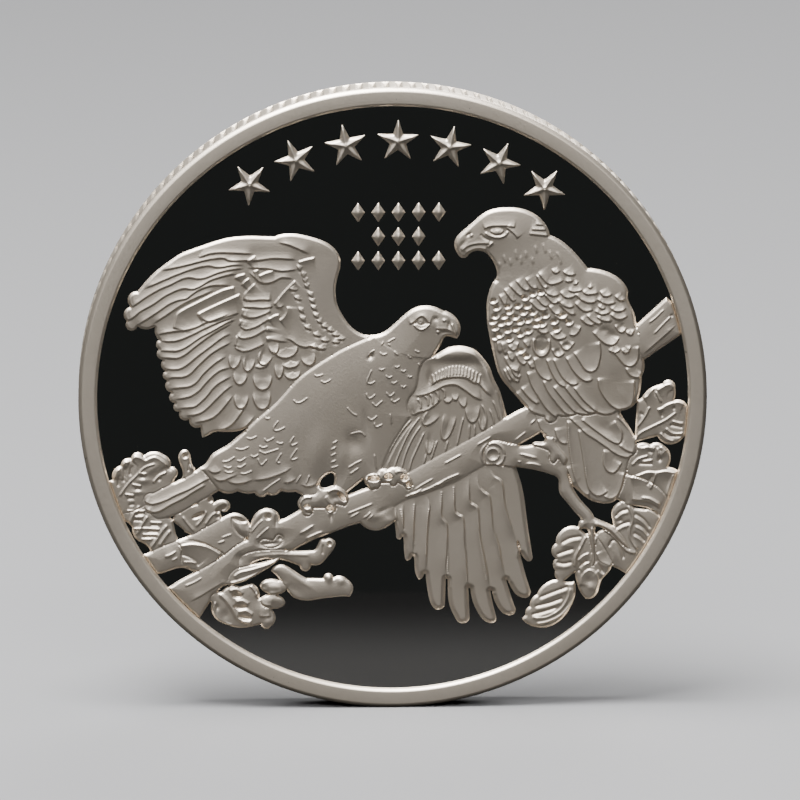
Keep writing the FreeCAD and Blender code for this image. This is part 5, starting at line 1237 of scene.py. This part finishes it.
    f.ridges([
        [(17.15, -1.3), (17.12, -0.8)], [(17.9, -0.85), (17.88, -0.5)], [(17.6, -1.75), (18.5, -1.95)],
        [(17.2, -2.2), (17.7, -2.5), (18.4, -2.5)], [(15.6, -4.25), (16.6, -4.3)],
        [(16.2, -3.4), (16.6, -3.6)], [(16.55, -4.95), (16.2, -5.7)], [(15.7, -0.9), (15.95, -1.2)],
    ], -0.05, 0.1, 0.15)
    f.bumps([
        (17.0, -4.0, 0.12, 0.14, -0.07), (17.2, -3.6, 0.25, 0.2, 0.04), (17.5, -5.4, 0.3, 0.5, -0.03),
    ])


STAR_ARC_RADIUS = 16.55
STAR_ARC_MIDDLE = 88.9   # degrees
STAR_PITCH = 11.45       # degrees
STAR_ARM = 1.3
LOZENGE_PITCH = 1.28
LOZENGE_MIDDLE = 0.35


def stars_and_lozenges(f):
    f.on('star_arc')
    for k in range(7):
        around = math.radians(STAR_ARC_MIDDLE + STAR_PITCH * (3 - k))
        x, z = STAR_ARC_RADIUS * math.cos(around), STAR_ARC_RADIUS * math.sin(around)
        for arm in range(5):
            a = around + arm * 2 * math.pi / 5
            f.ridge([(x, z), (x + STAR_ARM * math.cos(a), z + STAR_ARM * math.sin(a))], 0.05, 0.14, 0.02)
    f.on('lozenge_rows')
    for z, count in ((12.0, 5), (10.45, 3), (8.9, 5)):
        for k in range(count):
            f.bump(LOZENGE_MIDDLE + LOZENGE_PITCH * (k - (count - 1) / 2), z, 0.16, 0.26, 0.05)


def strike(levels, side, draw):
    """Draw one side of the coin and make its relief pieces."""
    face = Face(list(levels), side)
    face.build_base(levels)
    draw(face)
    face.finish()
    for node_name in levels:
        relief_piece(face, node_name)


def obverse_details(f):
    raised_wing(f)
    lowered_wing(f)
    left_body(f)
    left_tail_and_feet(f)
    right_head(f)
    right_body(f)
    branches(f)
    foliage(f)
    stars_and_lozenges(f)


strike(LEVELS, -1, obverse_details)


# ---------------------------------------------------------------- reverse

REVERSE_LEVELS = {
    "reverse_ribbon_tie": (0.15, 0.22, 0.06, 0.6),
    "reverse_left_stem": (0.12, 0.2, 0.05, 0.25),
    "reverse_right_stem": (0.12, 0.2, 0.05, 0.25),
    "reverse_left_spray": (0.1, 0.25, 0.05, 0.8),
    "reverse_right_spray": (0.1, 0.25, 0.05, 0.8),
    "reverse_star": (0.08, 0.2, 0.2, 2.6),
    "reverse_beads": (0.1, 0.2, 0.08, 0.3),
}


WREATH_RADIUS = 12.6
FIRST_LEAF = 14          # degrees from the bottom
LEAF_PITCH = 16.4        # degrees
LEAF_LEAN = 27.0         # degrees


def reverse_details(f):
    f.on('reverse_star')
    for arm in range(5):
        a = math.radians(90 + 72 * arm)
        f.ridge([(0, 0), (6.9 * math.cos(a), 6.9 * math.sin(a))], 0.04, 0.12, 0.1)
        b = a + math.radians(36)
        f.ridge([(0, 0), (2.7 * math.cos(b), 2.7 * math.sin(b))], -0.04, 0.12, 0.1)
    # Laurel leaves: a midrib and slanting veins on each
    for side, node in ((-1, "reverse_left_spray"), (1, "reverse_right_spray")):
        f.on(node)
        places = []
        for pair in range(9):
            places += [(pair, 1, LEAF_LEAN), (pair, -1, LEAF_LEAN)]
        places.append((9 - 0.4, 0, 0.0))
        for pair, lean_side, lean in places:
            along = math.radians(FIRST_LEAF + LEAF_PITCH * pair)
            around = -math.pi / 2 + side * along
            x, z = WREATH_RADIUS * math.cos(around), WREATH_RADIUS * math.sin(around)
            heading = around + side * math.pi / 2 + side * lean_side * math.radians(lean)
            ux, uz = math.cos(heading), math.sin(heading)
            f.ridge([(x + 0.2 * ux, z + 0.2 * uz), (x + 4.1 * ux, z + 4.1 * uz)], 0.05, 0.09, 0.3)
            for step in range(1, 5):
                px, pz = x + (0.4 + 0.72 * step) * ux, z + (0.4 + 0.72 * step) * uz
                for turn in (0.75, -0.75):
                    vx, vz = math.cos(heading + turn), math.sin(heading + turn)
                    f.ridge([(px, pz), (px + 0.6 * vx, pz + 0.6 * vz)], -0.03, 0.06, 0.1)
    f.on('reverse_ribbon_tie')
    for side in (-1, 1):
        f.ridges([
            [(side * 0.5, -12.5), (side * 1.6, -12.1)], [(side * 0.5, -12.7), (side * 1.7, -12.9)],
            [(side * 0.3, -13.4), (side * 1.0, -14.8)], [(side * 0.8, -13.6), (side * 1.5, -14.9)],
        ], -0.045, 0.09, 0.2)
    f.bump(0, -12.6, 0.5, 0.5, 0.05)


strike(REVERSE_LEVELS, 1, reverse_details)


# ---------------------------------------------------------------- rims and edge

def ring(name, node, profile, material, slot, segments=1440, reeds=0):
    """Closed ring of revolution. profile: (radius, y, share of the reeding) round the section."""
    count = len(profile)
    angles = np.arange(segments) * 2 * math.pi / segments
    radius = np.array([p[0] for p in profile])[None, :] * np.ones((segments, 1))
    if reeds:
        phase = (angles * reeds / (2 * math.pi)) % 1.0
        off = np.abs(phase - 0.5) * 2
        groove = REED_DEPTH * (0.5 - 0.5 * np.cos(math.pi * np.clip((off - 0.42) / 0.58, 0, 1)))
        radius = radius - groove[:, None] * np.array([p[2] for p in profile])[None, :]
    x = np.cos(angles)[:, None] * radius
    z = np.sin(angles)[:, None] * radius + CENTRE_Z
    y = np.array([p[1] for p in profile])[None, :] * np.ones((segments, 1))
    points = np.stack([x, y, z], -1).reshape(-1, 3) * MM
    i, j = np.meshgrid(np.arange(segments), np.arange(count), indexing="ij")
    i2, j2 = (i + 1) % segments, (j + 1) % count
    faces = np.stack([i * count + j, i * count + j2, i2 * count + j2, i2 * count + j], -1).reshape(-1, 4)
    mesh = bpy.data.meshes.new(name)
    mesh.from_pydata(points.tolist(), [], faces.tolist())
    build = bmesh.new()
    build.from_mesh(mesh)
    bmesh.ops.recalc_face_normals(build, faces=build.faces[:])
    build.to_mesh(mesh)
    build.free()
    mesh.polygons.foreach_set("use_smooth", np.ones(len(mesh.polygons), bool))
    mesh.materials.append(material)
    piece = bpy.data.objects.new(name, mesh)
    bpy.context.scene.collection.objects.link(piece)
    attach(piece, "root")
    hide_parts(node)


def rim_profile(side):
    """Section of a rim: wall, small inner bevel, face, broad outer bevel, outer wall."""
    corners = [
        (FIELD_RADIUS, FIELD_Y - 0.05), (FIELD_RADIUS, FIELD_Y + 0.1),
        (FIELD_RADIUS, FACE_Y - RIM_INNER_BEVEL - 0.02),
        (FIELD_RADIUS + 0.012, FACE_Y - RIM_INNER_BEVEL + 0.02),
        (FIELD_RADIUS + RIM_INNER_BEVEL - 0.03, FACE_Y - 0.02),
        (FIELD_RADIUS + RIM_INNER_BEVEL + 0.02, FACE_Y - 0.003),
        (FIELD_RADIUS + RIM_INNER_BEVEL + 0.07, FACE_Y), (FIELD_RADIUS + 0.5, FACE_Y),
        (RADIUS - RIM_BEVEL - 0.08, FACE_Y), (RADIUS - RIM_BEVEL - 0.02, FACE_Y - 0.004),
        (RADIUS - RIM_BEVEL + 0.03, FACE_Y - 0.03), (RADIUS - 0.07, FACE_Y - 0.15),
        (RADIUS - 0.02, FACE_Y - RIM_BEVEL),
        (RADIUS - 0.001, FACE_Y - RIM_BEVEL - 0.05), (RADIUS, FIELD_Y + 0.04), (RADIUS - 0.004, FIELD_Y),
        (RADIUS - 0.3, FIELD_Y), (FIELD_RADIUS + 0.3, FIELD_Y),
    ]
    return [(r, side * y, 0.0) for r, y in corners]


ring("struck_obverse_rim", "obverse_rim", rim_profile(-1), satin, "satin_edge")
ring("struck_reverse_rim", "reverse_rim", rim_profile(1), satin, "satin_edge")
band = [(FIELD_RADIUS, -FIELD_Y, 0), (RADIUS - 0.3, -FIELD_Y, 0)]
band += [(RADIUS - 0.03, -FIELD_Y, 1), (RADIUS, -FIELD_Y + 0.03, 1)]
band += [(RADIUS, y, 1) for y in (-0.8, -0.4, 0.0, 0.4, 0.8)]
band += [(RADIUS, FIELD_Y - 0.03, 1), (RADIUS - 0.03, FIELD_Y, 1)]
band += [(RADIUS - 0.3, FIELD_Y, 0), (FIELD_RADIUS, FIELD_Y, 0)]
ring("struck_reeded_edge", "reeded_edge", band, satin, "satin_edge",
     segments=REED_COUNT * POINTS_PER_REED, reeds=REED_COUNT)

for node_name, material in (("obverse_field", mirror), ("reverse_field", mirror), ("planchet", inner)):
    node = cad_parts[node_name]
    node.data.materials.clear()
    node.data.materials.append(material)


# ---------------------------------------------------------------- stage, lights, camera

def plane(name, x0, x1, y0, y1, material, glossy=True):
    mesh = bpy.data.meshes.new(name)
    mesh.from_pydata([(x0, y0, 0), (x1, y0, 0), (x1, y1, 0), (x0, y1, 0)], [], [(0, 1, 2, 3)])
    mesh.materials.append(material)
    piece = bpy.data.objects.new(name, mesh)
    piece.visible_glossy = glossy
    bpy.context.scene.collection.objects.link(piece)
    return piece


floor_material = bpy.data.materials.new("pale_floor")
floor_material.use_nodes = True
floor_shader = floor_material.node_tree.nodes["Principled BSDF"]
floor_shader.inputs["Base Color"].default_value = (0.21, 0.21, 0.215, 1)
floor_shader.inputs["Roughness"].default_value = 0.9
FLOOR_DEPTH = 0.038      # the mirror fields reflect only this much of the floor, as a sheet of painted reflection
plane("floor", -1.2, 1.2, -1.2, 1.6, floor_material, glossy=False)
# Painted reflection: the mirror fields see this sheet instead of the floor. Its colour is a darker copy of
# the floor's colour, with painted shade that falls from 0.018 near the coin to 0.0045 at FLOOR_DEPTH.
painted_reflection_material = bpy.data.materials.new("painted_reflection_of_floor")
painted_reflection_material.use_nodes = True
nodes, links = painted_reflection_material.node_tree.nodes, painted_reflection_material.node_tree.links
where = nodes.new("ShaderNodeTexCoord")
parts = nodes.new("ShaderNodeSeparateXYZ")
links.new(where.outputs["Object"], parts.inputs["Vector"])
off = nodes.new("ShaderNodeMath")
off.operation = "ABSOLUTE"
links.new(parts.outputs["Y"], off.inputs[0])
# Painted shade: the reflected floor is made darker the farther it lies from the coin.
painted_reflection_fade = map_range(painted_reflection_material, off.outputs["Value"], 0.014, FLOOR_DEPTH - 0.002, 0.018, 0.0045)
painted_reflection_fade.interpolation_type = "SMOOTHSTEP"
links.new(painted_reflection_fade.outputs["Result"], nodes["Principled BSDF"].inputs["Base Color"])
nodes["Principled BSDF"].inputs["Roughness"].default_value = 0.9
nodes["Principled BSDF"].inputs["Specular IOR Level"].default_value = 0.0
reflected = plane("painted_reflection_sheet", -1.2, 1.2, -FLOOR_DEPTH, FLOOR_DEPTH, painted_reflection_material)
reflected.location.z = 0.00002
reflected.visible_camera = False
reflected.visible_diffuse = False
reflected.visible_shadow = False


def area(name, place, target, size, power):
    light = bpy.data.lights.new(name, "AREA")
    light.energy = power
    light.size = size
    lamp = bpy.data.objects.new(name, light)
    lamp.location = place
    lamp.rotation_euler = (Vector(target) - Vector(place)).to_track_quat("-Z", "Y").to_euler()
    bpy.context.scene.collection.objects.link(lamp)


centre = (0.0, 0.0, CENTRE_Z * MM)
area("key", (-0.12, -0.10, 0.56), centre, 0.34, 14.0)
area("front_top", (-0.06, -0.60, 0.50), centre, 0.40, 4.9)
area("back_top", (0.20, 0.60, 0.50), centre, 0.40, 4.0)
world = bpy.data.worlds.new("studio")
world.use_nodes = True
world.node_tree.nodes["Background"].inputs["Color"].default_value = (0.0135, 0.0148, 0.0145, 1)
world.node_tree.nodes["Background"].inputs["Strength"].default_value = 1.0
bpy.context.scene.world = world

VIEW_DISTANCE = 0.5
VIEW_UP = math.radians(10.0)
VIEW_LEFT = math.radians(2.0)
camera_data = bpy.data.cameras.new("camera")
camera_data.lens = 353.0
camera_data.sensor_width = 36.0
camera_data.clip_start = 0.01
camera_data.clip_end = 10.0
camera = bpy.data.objects.new("camera", camera_data)
look_from = Vector(centre) + VIEW_DISTANCE * Vector((
    -math.sin(VIEW_LEFT) * math.cos(VIEW_UP), -math.cos(VIEW_LEFT) * math.cos(VIEW_UP), math.sin(VIEW_UP)))
look_at = Vector(centre) + Vector((0.00049, 0.0, -0.00029))
camera.location = look_from
camera.rotation_euler = (look_at - look_from).to_track_quat("-Z", "Y").to_euler()
bpy.context.scene.collection.objects.link(camera)
bpy.context.scene.camera = camera
